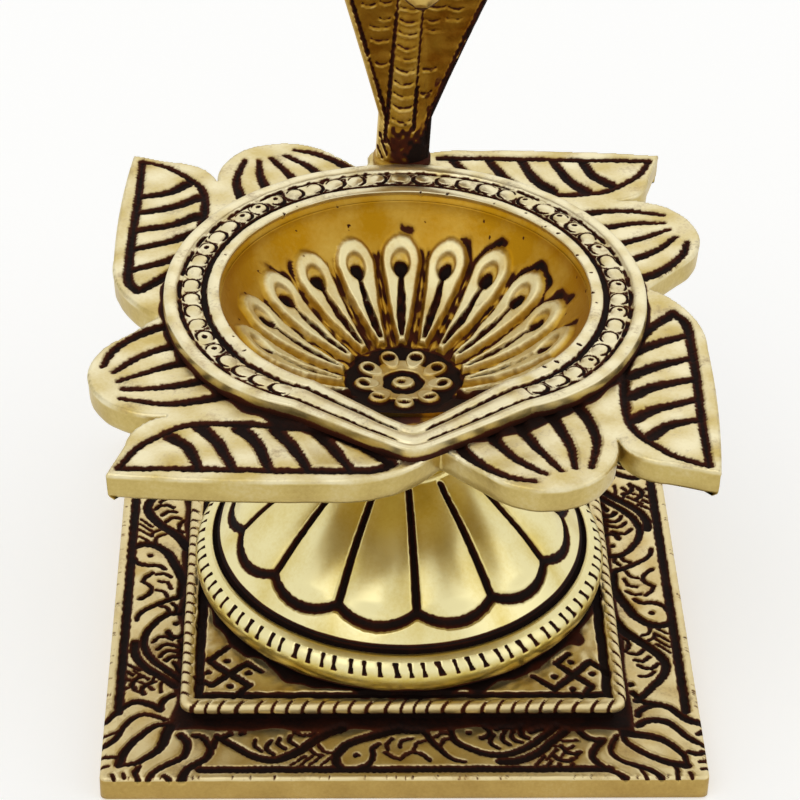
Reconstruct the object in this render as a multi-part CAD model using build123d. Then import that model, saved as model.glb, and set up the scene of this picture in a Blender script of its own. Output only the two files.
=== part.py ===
from build123d import *
import os
from math import atan2, cos, degrees, radians, sin, sqrt

# Naga hood lamp: a small cast brass oil lamp for a home shrine.
# A square base and plinth carry a lotus dome. One screw from below clamps a turned calyx,
# a pinwheel lotus tray and a drop-shaped oil bowl. A cobra hood is bolted on behind the bowl.
# Origin: centre of the base's underside. +Z up, -Y towards the spout. Millimetres, degrees.

# Base plate
base_side = 76.0
base_height = 3.6
base_corner = 0.8
base_edge = 0.5
base_foot_width = 6.0
base_hollow = 1.0
border_line_inset = 1.3
border_line_width = 0.9
border_line_length = 51.0
border_line_depth = 0.4

# Plinth, with a rope moulding round its top edge
plinth_side = 56.7
plinth_height = 3.2
rope_width = 1.8
rope_rise = 0.15
rope_turns = 27
rope_twist = 24.0
rope_notch_depth = 0.3
plinth_undercut = 1.4
plinth_setback = 0.5
plinth_groove_width = 1.1
plinth_groove_depth = 0.5

# Lotus dome, with a rounded band at its foot
dome_foot_radius = 24.6
dome_height = 20.6
band_radius = 27.2
band_middle = 2.7
band_top_radius = 25.9
band_height = 5.2
ring_groove_radius = 24.9
ring_groove_width = 0.9
ring_groove_depth = 0.7
dome_shoulder_radius = 17.7
dome_shoulder_height = 13.3
dome_top_radius = 8.5
dome_top_step = 0.5
dome_petals = 13
dome_petal_turn = 4.4
petal_join_radius = 21.4
petal_end_radius = 22.6
petal_top_radius = 9.2
petal_line_width = 0.9
petal_line_depth = 0.5

# Calyx, the turned cup that carries the tray and hides the bowl's body
calyx_height = 18.2
calyx_foot_radius = 8.2
calyx_foot_height = 1.2
calyx_neck_radius = 6.4
calyx_wall = 2.4
calyx_lip = 1.4

# Pinwheel lotus tray: four leaves and four round petals
tray_thickness = 3.8
tray_turn = -1.2
leaf_front = 37.3
leaf_tip = (-34.7, -36.6)
leaf_swell = (-22.0, -0.1)
leaf_run = -9.0
leaf_fold = (-0.6, 2.0)
notch_point = (4.1, -30.8)
petal_centre = (16.0, -29.6)
petal_radius = 8.9
petal_flank = (-0.75, -0.66)
petal_root = (24.9, -28.2)
leaf_shoulder = (-31.0, -26.4)
leaf_neck = (-32.9, -30.6)
tray_edge_round = 0.9
carving_width = 1.1
carving_depth = 0.6
leaf_border = 1.9
border_start = (-20.0, -26.0)
border_shoulder = (-28.4, -28.0)
border_tip_inset = 1.3
border_hook = (-7.5, 6.1)
vein_tops = (-28.6, -26.6, -26.2, -26.2, -26.4)
vein_first = -25.0
vein_pitch = 4.6
vein_slant = 3.9
vein_bend = 0.42
fan_ends = ((14.6, -36.0), (16.3, -35.3), (17.9, -34.7), (19.6, -34.2), (21.2, -33.8))
fan_first = 11.6
fan_step = 8.1
fan_bend = -1.9
fan_bend_step = 0.85
fan_overlap = 1.0

# Oil bowl, with a drop-shaped rim. The spout's floor is listed as (distance forward, depth)
bowl_radius = 22.8
bowl_depth = 14.9
bowl_floor_radius = 27.0
bowl_wall = 2.2
rim_rise = 2.0
rim_radius = 30.3
rim_waist = 28.7
rim_tip = 34.4
rim_round = 0.6
ridge_width = 1.9
rim_groove_width = 0.6
bead_width = 2.4
lip_groove_width = 0.9
ridge_tip_inset = 2.2
lip_tip_inset = 4.0
groove_tip_stretch = 1.2
rim_groove_depth = 0.8
bead_pitch = 2.9
bead_gap = 0.5
bead_gap_depth = 0.45
bead_span = 147.0
spout_waist = 22.4
spout_floor = ((29.5, 0.3), (25.2, 1.5), (22.4, 3.8), (20.5, 3.8), (17.0, 1.5), (0.0, 1.5))
spout_tip = spout_floor[0][0]
flute_count = 13
flute_pitch = 19.5
flute_height = 0.7
flute_end_radius = 21.0
flute_start_radius = 7.6
flute_end_width = 5.5
flute_start_width = 1.5
flute_pit = 2.2
flute_slot = 0.6
flute_slot_start = 0.5
flute_slot_inset = 1.2
rosette_petals = 9
rosette_petal_radius = 4.8
rosette_petal_length = 3.9
rosette_petal_width = 2.9
rosette_pit_shift = 0.4
rosette_pit_length = 1.5
rosette_pit_width = 1.8
rosette_boss = 1.9
rosette_boss_pit = 0.8
bowl_boss_radius = 4.0
bowl_boss_drop = 3.2

# Naga: neck, hood and head in one casting, with a threaded tenon below
naga_x = 0.4
naga_lean = 3.0
naga_neck_radius = 3.6
naga_neck_front = 3.0
naga_foot_radius = 3.9
naga_foot_height = 1.0
naga_pad_radius = 5.0
naga_pad_shift = 1.0
naga_rim_gap = 0.3
hood_height = 52.0
hood_flare_height = 6.8
hood_half_width = 13.8
hood_widest = 38.5
hood_shoulder = 31.0
hood_shoulder_width = 11.8
hood_thickness = 3.0
hood_border = 1.3
hood_recess = 0.45
belly_top_width = 3.7
belly_foot_width = 3.1
scale_pitch = 1.8
scale_line = 0.4
scale_depth = 0.3
hood_crown = (0.6, 0.8)
hood_bow = 4.5
hood_bow_back = 0.22
hood_bow_share = 0.55
hood_bow_overrun = 2.0
# The neck's back becomes a spine: share of the hood's height, half width, half depth, set-back
spine = ((0.17, 3.5, 2.3, 1.0), (0.5, 2.4, 2.0, 2.0), (0.78, 1.8, 1.5, 0.6))
head_reach = 13.4
head_height = 40.5
snout_height = 30.2
head_width = 9.6
head_depth = 6.4
head_droop = 1.4
head_tilt = 0.75
head_sections = ((0.0, 0.92, 0.75), (0.35, 1.0, 1.0), (0.7, 0.86, 0.84), (0.92, 0.56, 0.6), (1.0, 0.2, 0.3))

# Screw, tenon, nut and washer
screw_radius = 2.5
screw_head_radius = 4.8
screw_head_height = 2.4
screw_slot_width = 1.1
screw_slot_depth = 0.9
screw_bite = 2.9
screw_hole_gap = 0.1
tenon_radius = 1.5
washer_radius = 3.5
washer_thickness = 0.6
nut_across_flats = 5.5
nut_height = 2.4
tenon_tail = 0.4
thread_gap = 0.05
seat_gap = 0.3

# Levels, from the floor up
base_top = base_height
plinth_top = base_top + plinth_height
dome_top = plinth_top + dome_height
calyx_top = dome_top + calyx_height
tray_top = calyx_top + tray_thickness
rim_top = tray_top + rim_rise
bowl_outer_radius = bowl_radius + bowl_wall
bowl_outer_depth = bowl_depth + bowl_wall
# Radius of the wall's arc that meets the round floor smoothly and stands upright at the rim
bowl_wall_arc = (2 * bowl_floor_radius * bowl_depth - bowl_depth**2 - bowl_radius**2)
bowl_wall_arc /= 2 * (bowl_floor_radius - bowl_radius)
boss_foot = rim_top - bowl_outer_depth - bowl_boss_drop
naga_y = rim_radius + naga_rim_gap + naga_foot_radius


def polar(radius, azimuth):
    # Plan point at an azimuth measured from the spout side (-Y) towards +X
    a = radians(azimuth)
    return (radius * sin(a), -radius * cos(a))


def box_from(x, y, z, width, depth, height):
    # Box centred on x, y that stands on z
    return Pos(x, y, z) * Box(width, depth, height, align=(Align.CENTER, Align.CENTER, Align.MIN))


def bar(z, radius, height, x=0.0, y=0.0):
    # Round bar that stands on z
    return Pos(x, y, z) * Cylinder(radius, height, align=(Align.CENTER, Align.CENTER, Align.MIN))


def raise_face(face, z, height):
    return Pos(0, 0, z) * extrude(face, height)


def drop(radius, waist, tip):
    # Drop outline: round behind, with flanks that run straight to a pointed spout
    shoulder, flank = 60.0, 30.0
    left, right = polar(radius, -shoulder), polar(radius, shoulder)
    back = ThreePointArc(right, (0, radius), left)
    flank_left = TangentArc(left, polar(waist, -flank), tangent=back % 1)
    flank_right = flank_left.mirror(Plane.YZ)
    to_tip = Polyline(polar(waist, -flank), (0, -tip), polar(waist, flank))
    return make_face([back, flank_left, to_tip, flank_right])


def bowl_body(offset):
    # Solid in the shape of the bowl's cavity, grown by an offset: a round floor that
    # runs into a wall that is upright at the rim
    floor_lift = bowl_floor_radius - bowl_depth
    wall_centre = bowl_radius - bowl_wall_arc
    bend = degrees(atan2(wall_centre, floor_lift))
    floor = CenterArc((0, floor_lift), bowl_floor_radius + offset, 270, bend)
    wall = CenterArc((wall_centre, 0), bowl_wall_arc + offset, 270 + bend, 90 - bend)
    sides = Polyline((bowl_radius + offset, 0), (0, 0), (0, -bowl_depth - offset))
    return Pos(0, 0, rim_top) * revolve(Plane.XZ * make_face([floor, wall, sides]), Axis.Z)


def stroke(line, width):
    return trace(line, width)


# Square plate with a shallow hollow underneath and an engraved line near each edge
def make_base_plate():
    plate = extrude(RectangleRounded(base_side, base_side, base_corner), base_height)
    plate = fillet(plate.edges().group_by(Axis.Z)[-1], base_edge)
    hollow_side = base_side - 2 * base_foot_width
    plate -= extrude(RectangleRounded(hollow_side, hollow_side, base_foot_width / 2), base_hollow)
    line_place = base_side / 2 - border_line_inset - border_line_width / 2
    for turn in range(4):
        groove = box_from(
            0, -line_place, base_top - border_line_depth,
            border_line_length, border_line_width, 2 * border_line_depth,
        )
        plate -= Rot(0, 0, 90 * turn) * groove
    plate -= screw_shape(screw_hole_gap)
    return plate


# Countersunk screw, also used with a gap to cut its seat and holes
def screw_shape(gap):
    head_foot = base_hollow
    shank_foot = head_foot + screw_head_height
    head = Pos(0, 0, head_foot) * Cone(
        screw_head_radius + gap, screw_radius + gap, screw_head_height,
        align=(Align.CENTER, Align.CENTER, Align.MIN),
    )
    return head + bar(shank_foot, screw_radius + gap, boss_foot + screw_bite - shank_foot)


# One side of the rope: a faceted bar notched across on a slant
def make_rope_side():
    reach = plinth_side / 2
    radius = rope_width / 2
    side = Plane.YZ * RegularPolygon(radius, 8, major_radius=False, rotation=22.5)
    rope = Pos(-reach, 0, 0) * extrude(side, plinth_side)
    pitch = plinth_side / rope_turns
    knife = Box(rope_notch_depth * 2, 3 * rope_width, rope_notch_depth * 2)
    knife = Rot(0, 45, 0) * knife
    knife = Rot(0, 0, rope_twist) * knife
    knife = Rot(45, 0, 0) * Pos(0, 0, radius) * knife
    cuts = [Pos(-reach + pitch * (i + 0.5), 0, 0) * knife for i in range(rope_turns)]
    return rope - cuts


# Second tier, with the rope laid along its top edge
def make_plinth():
    reach = plinth_side / 2 - rope_width / 2
    foot = 2 * (reach - plinth_setback)
    block = box_from(0, 0, base_top, foot, foot, plinth_undercut)
    top = 2 * reach
    block += box_from(0, 0, base_top + plinth_undercut, top, top, plinth_height - plinth_undercut)
    groove_out = 2 * (reach - rope_width / 2)
    groove_in = groove_out - 2 * plinth_groove_width
    groove = Rectangle(groove_out, groove_out) - Rectangle(groove_in, groove_in)
    block -= raise_face(groove, plinth_top - plinth_groove_depth, 2 * plinth_groove_depth)
    rope = Pos(0, -reach, plinth_top - rope_width / 2 + rope_rise) * make_rope_side()
    for turn in range(4):
        block += Rot(0, 0, 90 * turn) * rope
    return block - screw_shape(screw_hole_gap)


def dome_body(inset):
    # Revolved outline of the dome, drawn in by an inset above its band
    start = (ring_groove_radius - inset, band_height + ring_groove_width - inset)
    shoulder = (dome_shoulder_radius - inset, dome_shoulder_height - inset)
    end = (dome_top_radius - inset, dome_height - dome_top_step - inset)
    outline = [
        Polyline((0, 0), (dome_foot_radius, 0)),
        ThreePointArc((dome_foot_radius, 0), (band_radius, band_middle), (band_top_radius, band_height)),
        Polyline(
            (band_top_radius, band_height), (ring_groove_radius, band_height + dome_top_step),
            (ring_groove_radius - ring_groove_depth, band_height + dome_top_step), start,
        ),
        ThreePointArc(start, shoulder, end),
        Polyline(end, (end[0], dome_height - inset), (0, dome_height - inset), (0, 0)),
    ]
    return Pos(0, 0, plinth_top) * revolve(Plane.XZ * make_face(outline), Axis.Z)


# Domed lotus: petals divided by cut lines and closed by scallops above the band
def make_pedestal_dome():
    step = 360 / dome_petals
    lines = []
    for i in range(dome_petals):
        azimuth = dome_petal_turn + step * i
        join = polar(petal_join_radius, azimuth)
        lines.append(stroke(Line(polar(petal_top_radius, azimuth), join), petal_line_width))
        middle = polar(petal_end_radius, azimuth + step / 2)
        scallop = ThreePointArc(join, middle, polar(petal_join_radius, azimuth + step))
        lines.append(stroke(scallop, petal_line_width))
    cuts = raise_face(Sketch() + lines, plinth_top + band_height, dome_height)
    dome = dome_body(0) - (cuts - dome_body(petal_line_depth))
    return dome - screw_shape(screw_hole_gap)


# Turned cup on a short neck, hollowed to clear the bowl
def make_calyx():
    inner = bowl_wall + seat_gap
    outer = inner + calyx_wall
    cup = bowl_body(outer)
    cup -= box_from(0, 0, calyx_top, 3 * rim_radius, 3 * rim_radius, calyx_height)
    lip_drop = rim_top - calyx_top
    wall_reach = sqrt((bowl_wall_arc + outer) ** 2 - lip_drop**2)
    lip_radius = bowl_radius - bowl_wall_arc + wall_reach + calyx_lip / 2
    cup += bar(calyx_top - calyx_lip, lip_radius, calyx_lip)
    neck_top = rim_top - bowl_depth - inner + seat_gap
    neck = bar(dome_top, calyx_neck_radius, neck_top - dome_top)
    neck += bar(dome_top, calyx_foot_radius, calyx_foot_height)
    cup += neck
    cup -= bowl_body(inner)
    cup -= bar(boss_foot - seat_gap, bowl_boss_radius + seat_gap, bowl_boss_drop + 2 * seat_gap)
    return cup - screw_shape(screw_hole_gap)


def turned(point, quarter):
    # Plan point turned by a number of quarter turns
    x, y = point
    for _ in range(quarter % 4):
        x, y = -y, x
    return (x, y)


# Outline of one leaf and one round petal, from leaf tip to the next leaf's tip
def tray_side(quarter):
    def at(x, y):
        return turned((x, y), quarter)

    tip = at(*leaf_tip)
    swell = at(leaf_swell[0], leaf_swell[1] - leaf_front)
    run_end = at(leaf_run, -leaf_front)
    fold = at(leaf_fold[0], leaf_fold[1] - leaf_front)
    notch = at(*notch_point)
    petal_x, petal_y = petal_centre
    flank = at(petal_x + petal_radius * petal_flank[0], petal_y + petal_radius * petal_flank[1])
    crown = at(petal_x, petal_y - petal_radius)
    root = at(*petal_root)
    shoulder = turned(leaf_shoulder, quarter + 1)
    neck = turned(leaf_neck, quarter + 1)
    return [
        ThreePointArc(tip, swell, run_end),
        ThreePointArc(run_end, fold, notch),
        Line(notch, flank),
        ThreePointArc(flank, crown, root),
        ThreePointArc(root, shoulder, neck),
        Line(neck, turned(leaf_tip, quarter + 1)),
    ]


# Carving of one quarter: the leaf's border and veins, and the fan on the round petal
def tray_carving():
    tip = (leaf_tip[0] + border_tip_inset, leaf_tip[1] + border_tip_inset)
    front = leaf_border - leaf_front
    hook_x, hook_reach = border_hook
    borders = [
        ThreePointArc(border_start, border_shoulder, tip),
        Line(tip, (hook_x, front)),
        ThreePointArc((hook_x, front), (hook_x + 0.7 * hook_reach, front + 0.15 * hook_reach),
                      (hook_x + hook_reach, front + 0.5 * hook_reach)),
    ]
    lines = [stroke(border, carving_width) for border in borders]
    for i, top in enumerate(vein_tops):
        end_x = vein_first + vein_pitch * i
        middle = (end_x - vein_bend * vein_slant, (top + front) / 2)
        vein = ThreePointArc((end_x - vein_slant, top), middle, (end_x, front))
        lines.append(stroke(vein, carving_width))
    for i, end in enumerate(fan_ends):
        start = polar(rim_radius - fan_overlap, fan_first + fan_step * i)
        bend = fan_bend + fan_bend_step * i
        middle = ((start[0] + end[0]) / 2 + bend, (start[1] + end[1]) / 2 + bend / 2)
        lines.append(stroke(ThreePointArc(start, middle, end), carving_width))
    return Sketch() + lines


# Flat casting that rests on the calyx, with a round opening for the bowl
def make_petal_tray():
    sides = [edge for quarter in range(4) for edge in tray_side(quarter)]
    tray = raise_face(Rot(0, 0, tray_turn) * make_face(sides), calyx_top, tray_thickness)
    tray += bar(calyx_top, naga_pad_radius, tray_thickness, naga_x, naga_y - naga_pad_shift)
    tray = fillet(tray.edges().group_by(Axis.Z)[0], tray_edge_round)
    carving = raise_face(tray_carving(), tray_top - carving_depth, 2 * carving_depth)
    pad = bar(tray_top - tray_thickness, naga_pad_radius, 2 * tray_thickness, naga_x, naga_y)
    for quarter in range(4):
        tray -= Rot(0, 0, tray_turn + 90 * quarter) * carving - pad
    tray -= bar(calyx_top, bowl_outer_radius + seat_gap, tray_thickness)
    tray -= bar(calyx_top, tenon_radius + screw_hole_gap, tray_thickness, naga_x, naga_y)
    return tray


# Raised fingers of the bowl in plan: each is a loop round a pit and a tapering slot
def bowl_relief():
    end_centre = flute_end_radius - flute_end_width / 2
    finger = Pos(0, end_centre) * Circle(flute_end_width / 2)
    finger += make_face(Polyline(
        (-flute_end_width / 2, end_centre), (flute_end_width / 2, end_centre),
        (flute_start_width / 2, flute_start_radius), (-flute_start_width / 2, flute_start_radius),
        close=True,
    ))
    finger -= Pos(0, end_centre) * Circle(flute_pit / 2)
    finger -= make_face(Polyline(
        (-flute_slot / 2, end_centre), (flute_slot / 2, end_centre),
        (flute_slot_start / 2, flute_start_radius + flute_slot_inset),
        (-flute_slot_start / 2, flute_start_radius + flute_slot_inset), close=True,
    ))
    half = (flute_count - 1) / 2
    relief = [Rot(0, 0, flute_pitch * (i - half)) * finger for i in range(flute_count)]
    petal = Ellipse(rosette_petal_width / 2, rosette_petal_length / 2)
    petal -= Pos(0, -rosette_pit_shift) * Ellipse(rosette_pit_width / 2, rosette_pit_length / 2)
    petal = Pos(0, -rosette_petal_radius) * petal
    turn = 360 / rosette_petals
    relief += [Rot(0, 0, turn * i) * petal for i in range(rosette_petals)]
    relief.append(Circle(rosette_boss) - Circle(rosette_boss_pit))
    return Sketch() + relief


def rim_ring(outset, width, tip):
    # Groove that follows the rim, inside its edge by an outset
    outer = drop(rim_radius - outset, rim_waist - outset, tip)
    inner = drop(rim_radius - outset - width, rim_waist - outset - width, tip - groove_tip_stretch * width)
    return outer - inner


# Bowl with a beaded drop-shaped rim, a V spout, flutes and a rosette
def make_oil_bowl():
    rim = raise_face(drop(rim_radius, rim_waist, rim_tip), tray_top, rim_rise)
    rim = fillet(rim.edges().group_by(Axis.Z)[-1], rim_round)
    bead_outset = ridge_width + rim_groove_width
    lip_outset = bead_outset + bead_width
    ridge_groove = rim_ring(ridge_width, rim_groove_width, rim_tip - ridge_tip_inset)
    lip_groove = rim_ring(lip_outset, lip_groove_width, rim_tip - lip_tip_inset)
    for groove in (ridge_groove, lip_groove):
        rim -= raise_face(groove, rim_top - rim_groove_depth, 2 * rim_groove_depth)
    bead_radius = rim_radius - bead_outset - bead_width / 2
    beads = round(2 * radians(bead_span) * bead_radius / bead_pitch)
    slot = Pos(0, bead_radius) * Rectangle(bead_gap, bead_width + rim_groove_width)
    slots = [Rot(0, 0, bead_span * (2 * i / beads - 1)) * slot for i in range(beads + 1)]
    rim -= raise_face(Sketch() + slots, rim_top - bead_gap_depth, 2 * bead_gap_depth)

    body = bowl_body(bowl_wall)
    body += bar(boss_foot, bowl_boss_radius, bowl_boss_drop + bowl_wall / 2)
    bowl = rim + body - bowl_body(0)

    # The spout is a trough that rises from the bowl's wall to the rim's point
    deepest = max(depth for reach, depth in spout_floor)
    trough = raise_face(drop(bowl_radius, spout_waist, spout_tip), rim_top - deepest, 2 * deepest)
    floor_line = [(-reach, rim_top - depth) for reach, depth in spout_floor]
    floor_line += [(0, rim_top + rim_rise), (-spout_tip, rim_top + rim_rise)]
    room = extrude(Plane.YZ * make_face(Polyline(floor_line, close=True)), rim_radius, both=True)
    bowl -= trough & room

    layer = bowl_body(flute_height / 2) - bowl_body(-flute_height)
    relief = raise_face(bowl_relief(), rim_top - bowl_outer_depth, bowl_outer_depth)
    bowl += relief & layer
    return bowl - bar(boss_foot, screw_radius + thread_gap, screw_bite + seat_gap)


# Front outline of the hood, in x and height above the tray
def hood_outline(inset):
    neck = naga_neck_radius - inset
    shoulder = hood_shoulder_width - inset
    widest = hood_half_width - inset
    top = hood_height - inset
    crown = hood_widest + hood_crown[1] * (top - hood_widest)
    crown_width = hood_crown[0] * widest
    right = [
        Polyline((neck, 0), (neck, hood_flare_height), (shoulder, hood_shoulder)),
        ThreePointArc((shoulder, hood_shoulder), (widest, hood_widest), (crown_width, crown)),
    ]
    left = [edge.mirror(Plane.YZ) for edge in right]
    arch = ThreePointArc((crown_width, crown), (0, top), (-crown_width, crown))
    return make_face(right + [arch] + left + [Line((-neck, 0), (neck, 0))])


# Side band of the hood: it rises upright, then bows forward at the top
def hood_band(front, back):
    top = hood_height + hood_bow_overrun

    def edge(offset):
        middle = (offset + hood_bow_back * hood_bow, hood_bow_share * hood_height)
        return ThreePointArc((offset, 0), middle, (offset - hood_bow, top))

    face = make_face([
        edge(front), edge(back), Line((front, 0), (back, 0)),
        Line((front - hood_bow, top), (back - hood_bow, top)),
    ])
    return extrude(Plane.YZ * face, 2 * hood_half_width, both=True)


def hood_prism(face):
    return extrude(Plane.XZ * face, 3 * hood_half_width, both=True)


# Cobra hood: a blade with a sunk front and a scaled belly strip, a round neck and a head
def make_naga_hood():
    half = hood_thickness / 2
    blade = hood_prism(hood_outline(0)) & hood_band(-half, half)
    belly = make_face(Polyline(
        (-belly_foot_width / 2, 0), (belly_foot_width / 2, 0),
        (belly_top_width / 2, hood_height), (-belly_top_width / 2, hood_height), close=True,
    ))
    field = hood_outline(hood_border) - belly
    field -= Rectangle(4 * hood_half_width, 2 * hood_flare_height)
    front_skin = hood_band(-half - hood_border, -half + hood_recess)
    blade -= hood_prism(field) & front_skin
    lines = []
    for i in range(int((head_height - hood_flare_height) / scale_pitch)):
        z = hood_flare_height + scale_pitch * i
        lines.append(Pos(0, z) * Rectangle(belly_foot_width - 2 * scale_line, scale_line))
    blade -= hood_prism(Sketch() + lines) & hood_band(-half - hood_border, -half + scale_depth)

    # Round neck that fades into a spine up the back of the hood
    sections = [Ellipse(naga_neck_radius, naga_neck_front)]
    for rise, width, depth, back in spine:
        sections.append(Pos(0, back, rise * hood_height) * Ellipse(width, depth))
    naga = blade + loft(sections, ruled=True)

    # Head that leans out over the bowl and drops to a blunt snout
    fall = head_height - snout_height
    sections = []
    for share, width, depth in head_sections:
        y = -head_reach * share
        z = head_height - fall * share ** head_droop
        plane = Plane(origin=(0, y, z), x_dir=(1, 0, 0), z_dir=(0, -1, -head_tilt * share))
        sections.append(plane * Ellipse(width * head_width / 2, depth * head_depth / 2))
    naga += loft(sections)
    naga = Rot(0, naga_lean, 0) * naga
    naga -= box_from(0, 0, -hood_height, 2 * hood_height, 2 * hood_height, hood_height)
    naga += bar(0, naga_foot_radius, naga_foot_height)
    tenon_length = tray_thickness + washer_thickness + nut_height + tenon_tail
    naga += bar(-tenon_length, tenon_radius, tenon_length)
    return Pos(naga_x, naga_y, tray_top) * naga


def make_naga_washer():
    ring = bar(0, washer_radius, washer_thickness) - bar(0, tenon_radius + thread_gap, washer_thickness)
    return Pos(naga_x, naga_y, calyx_top - washer_thickness) * ring


def make_naga_nut():
    hexagon = RegularPolygon(nut_across_flats / 2, 6, major_radius=False)
    nut = extrude(hexagon - Circle(tenon_radius + thread_gap), nut_height)
    return Pos(naga_x, naga_y, calyx_top - washer_thickness - nut_height) * nut


def make_tie_screw():
    slot = box_from(0, 0, base_hollow, 3 * screw_head_radius, screw_slot_width, screw_slot_depth)
    return screw_shape(0) - slot


parts = {
    "base_plate": make_base_plate,
    "plinth": make_plinth,
    "pedestal_dome": make_pedestal_dome,
    "calyx": make_calyx,
    "petal_tray": make_petal_tray,
    "oil_bowl": make_oil_bowl,
    "naga_hood": make_naga_hood,
    "naga_washer": make_naga_washer,
    "naga_nut": make_naga_nut,
    "tie_screw": make_tie_screw,
}

os.makedirs("parts", exist_ok=True)
for name, make in parts.items():
    piece = make()
    piece.label = name
    export_step(piece, f"parts/{name}.step")
    print(name, "solids", len(piece.solids()), "volume", round(piece.volume))
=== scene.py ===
from math import atan, cos, pi, radians, sin, sqrt

import bpy
import numpy as np
from mathutils import Matrix, Vector


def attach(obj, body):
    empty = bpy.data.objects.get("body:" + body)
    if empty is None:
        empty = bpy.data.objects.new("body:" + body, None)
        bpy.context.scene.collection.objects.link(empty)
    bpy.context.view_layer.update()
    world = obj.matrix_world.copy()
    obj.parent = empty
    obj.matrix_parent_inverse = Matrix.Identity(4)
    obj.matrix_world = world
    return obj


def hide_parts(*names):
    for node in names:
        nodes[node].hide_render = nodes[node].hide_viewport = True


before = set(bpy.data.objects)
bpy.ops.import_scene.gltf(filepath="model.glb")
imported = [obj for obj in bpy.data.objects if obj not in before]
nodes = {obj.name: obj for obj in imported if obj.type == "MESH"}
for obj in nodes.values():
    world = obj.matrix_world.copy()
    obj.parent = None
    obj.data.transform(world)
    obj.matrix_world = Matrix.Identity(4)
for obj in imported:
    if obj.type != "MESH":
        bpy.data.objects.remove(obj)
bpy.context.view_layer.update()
mm = 0.001

print("stage: camera, floor and light")
photoCamera = {
    "imageWidth": 800,
    "focalPixels": 2866.5,
    "sensorWidth": 36.0,
    "pitch": 35.753,
    "yaw": -2.117,
    "roll": 1.305,
    "target": (1.387, 47.368, 0.0),  # mm, on the floor
    "distance": 427.45,  # mm
}


def placeCamera(settings):
    yaw, pitch, roll = (radians(settings[key]) for key in ("yaw", "pitch", "roll"))
    back = Vector((sin(yaw) * cos(pitch), -cos(yaw) * cos(pitch), sin(pitch)))
    side = Vector((0, 0, 1)).cross(back).normalized()
    above = back.cross(side)
    right = cos(roll) * side + sin(roll) * above
    up = cos(roll) * above - sin(roll) * side
    lens = bpy.data.cameras.new("photoCamera")
    lens.sensor_width = settings["sensorWidth"]
    lens.lens = settings["focalPixels"] * settings["sensorWidth"] / settings["imageWidth"]
    lens.clip_start, lens.clip_end = 0.02, 20
    camera = bpy.data.objects.new("photoCamera", lens)
    turn = Matrix((right, up, back)).transposed().to_4x4()
    place = (Vector(settings["target"]) + back * settings["distance"]) * mm
    camera.matrix_world = Matrix.Translation(place) @ turn
    bpy.context.scene.collection.objects.link(camera)
    bpy.context.scene.camera = camera


placeCamera(photoCamera)
bpy.context.scene.view_settings.view_transform = "Standard"


def linear(hexColour, alpha=1.0):
    # sRGB hex to the linear values that the shaders use
    parts = [int(hexColour[i:i + 2], 16) / 255 for i in (1, 3, 5)]
    return [p / 12.92 if p <= 0.04045 else ((p + 0.055) / 1.055) ** 2.4 for p in parts] + [alpha]


def addNode(tree, kind, settings=None, links=None, **values):
    # settings: attributes of the node. values: its sockets by name. links: socket to source socket
    node = tree.nodes.new(kind)
    for key, value in (settings or {}).items():
        setattr(node, key, value)
    for key, value in values.items():
        node.inputs[int(key[1:]) if key[0] == "_" else key].default_value = value
    for key, source in (links or {}).items():
        tree.links.new(source, node.inputs[key])
    return node


studio = {
    "floorColour": "#f4f4f2",
    "floorSize": 6.0,
    "floorGlow": 0.35,  # keeps the paper white to the eye and in reflections
    "worldLight": 0.62,
    "keyLight": (0.75, (-0.35, -0.45, 0.75), 0.55),  # watts, place and side in metres
    "fillLight": (0.3, (0.65, -0.25, 0.45), 0.5),
    "backLight": (0.25, (0.1, 0.75, 0.6), 0.6),
}


def seenRays(tree):
    # 1 for rays that the camera, a reflection or a transmission sees, 0 for the light they gather
    rays = addNode(tree, "ShaderNodeLightPath").outputs
    both = addNode(tree, "ShaderNodeMath", {"operation": "MAXIMUM"},
                   {0: rays["Is Camera Ray"], 1: rays["Is Glossy Ray"]})
    return addNode(tree, "ShaderNodeMath", {"operation": "MAXIMUM"},
                   {0: both.outputs[0], 1: rays["Is Transmission Ray"]}).outputs[0]


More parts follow.
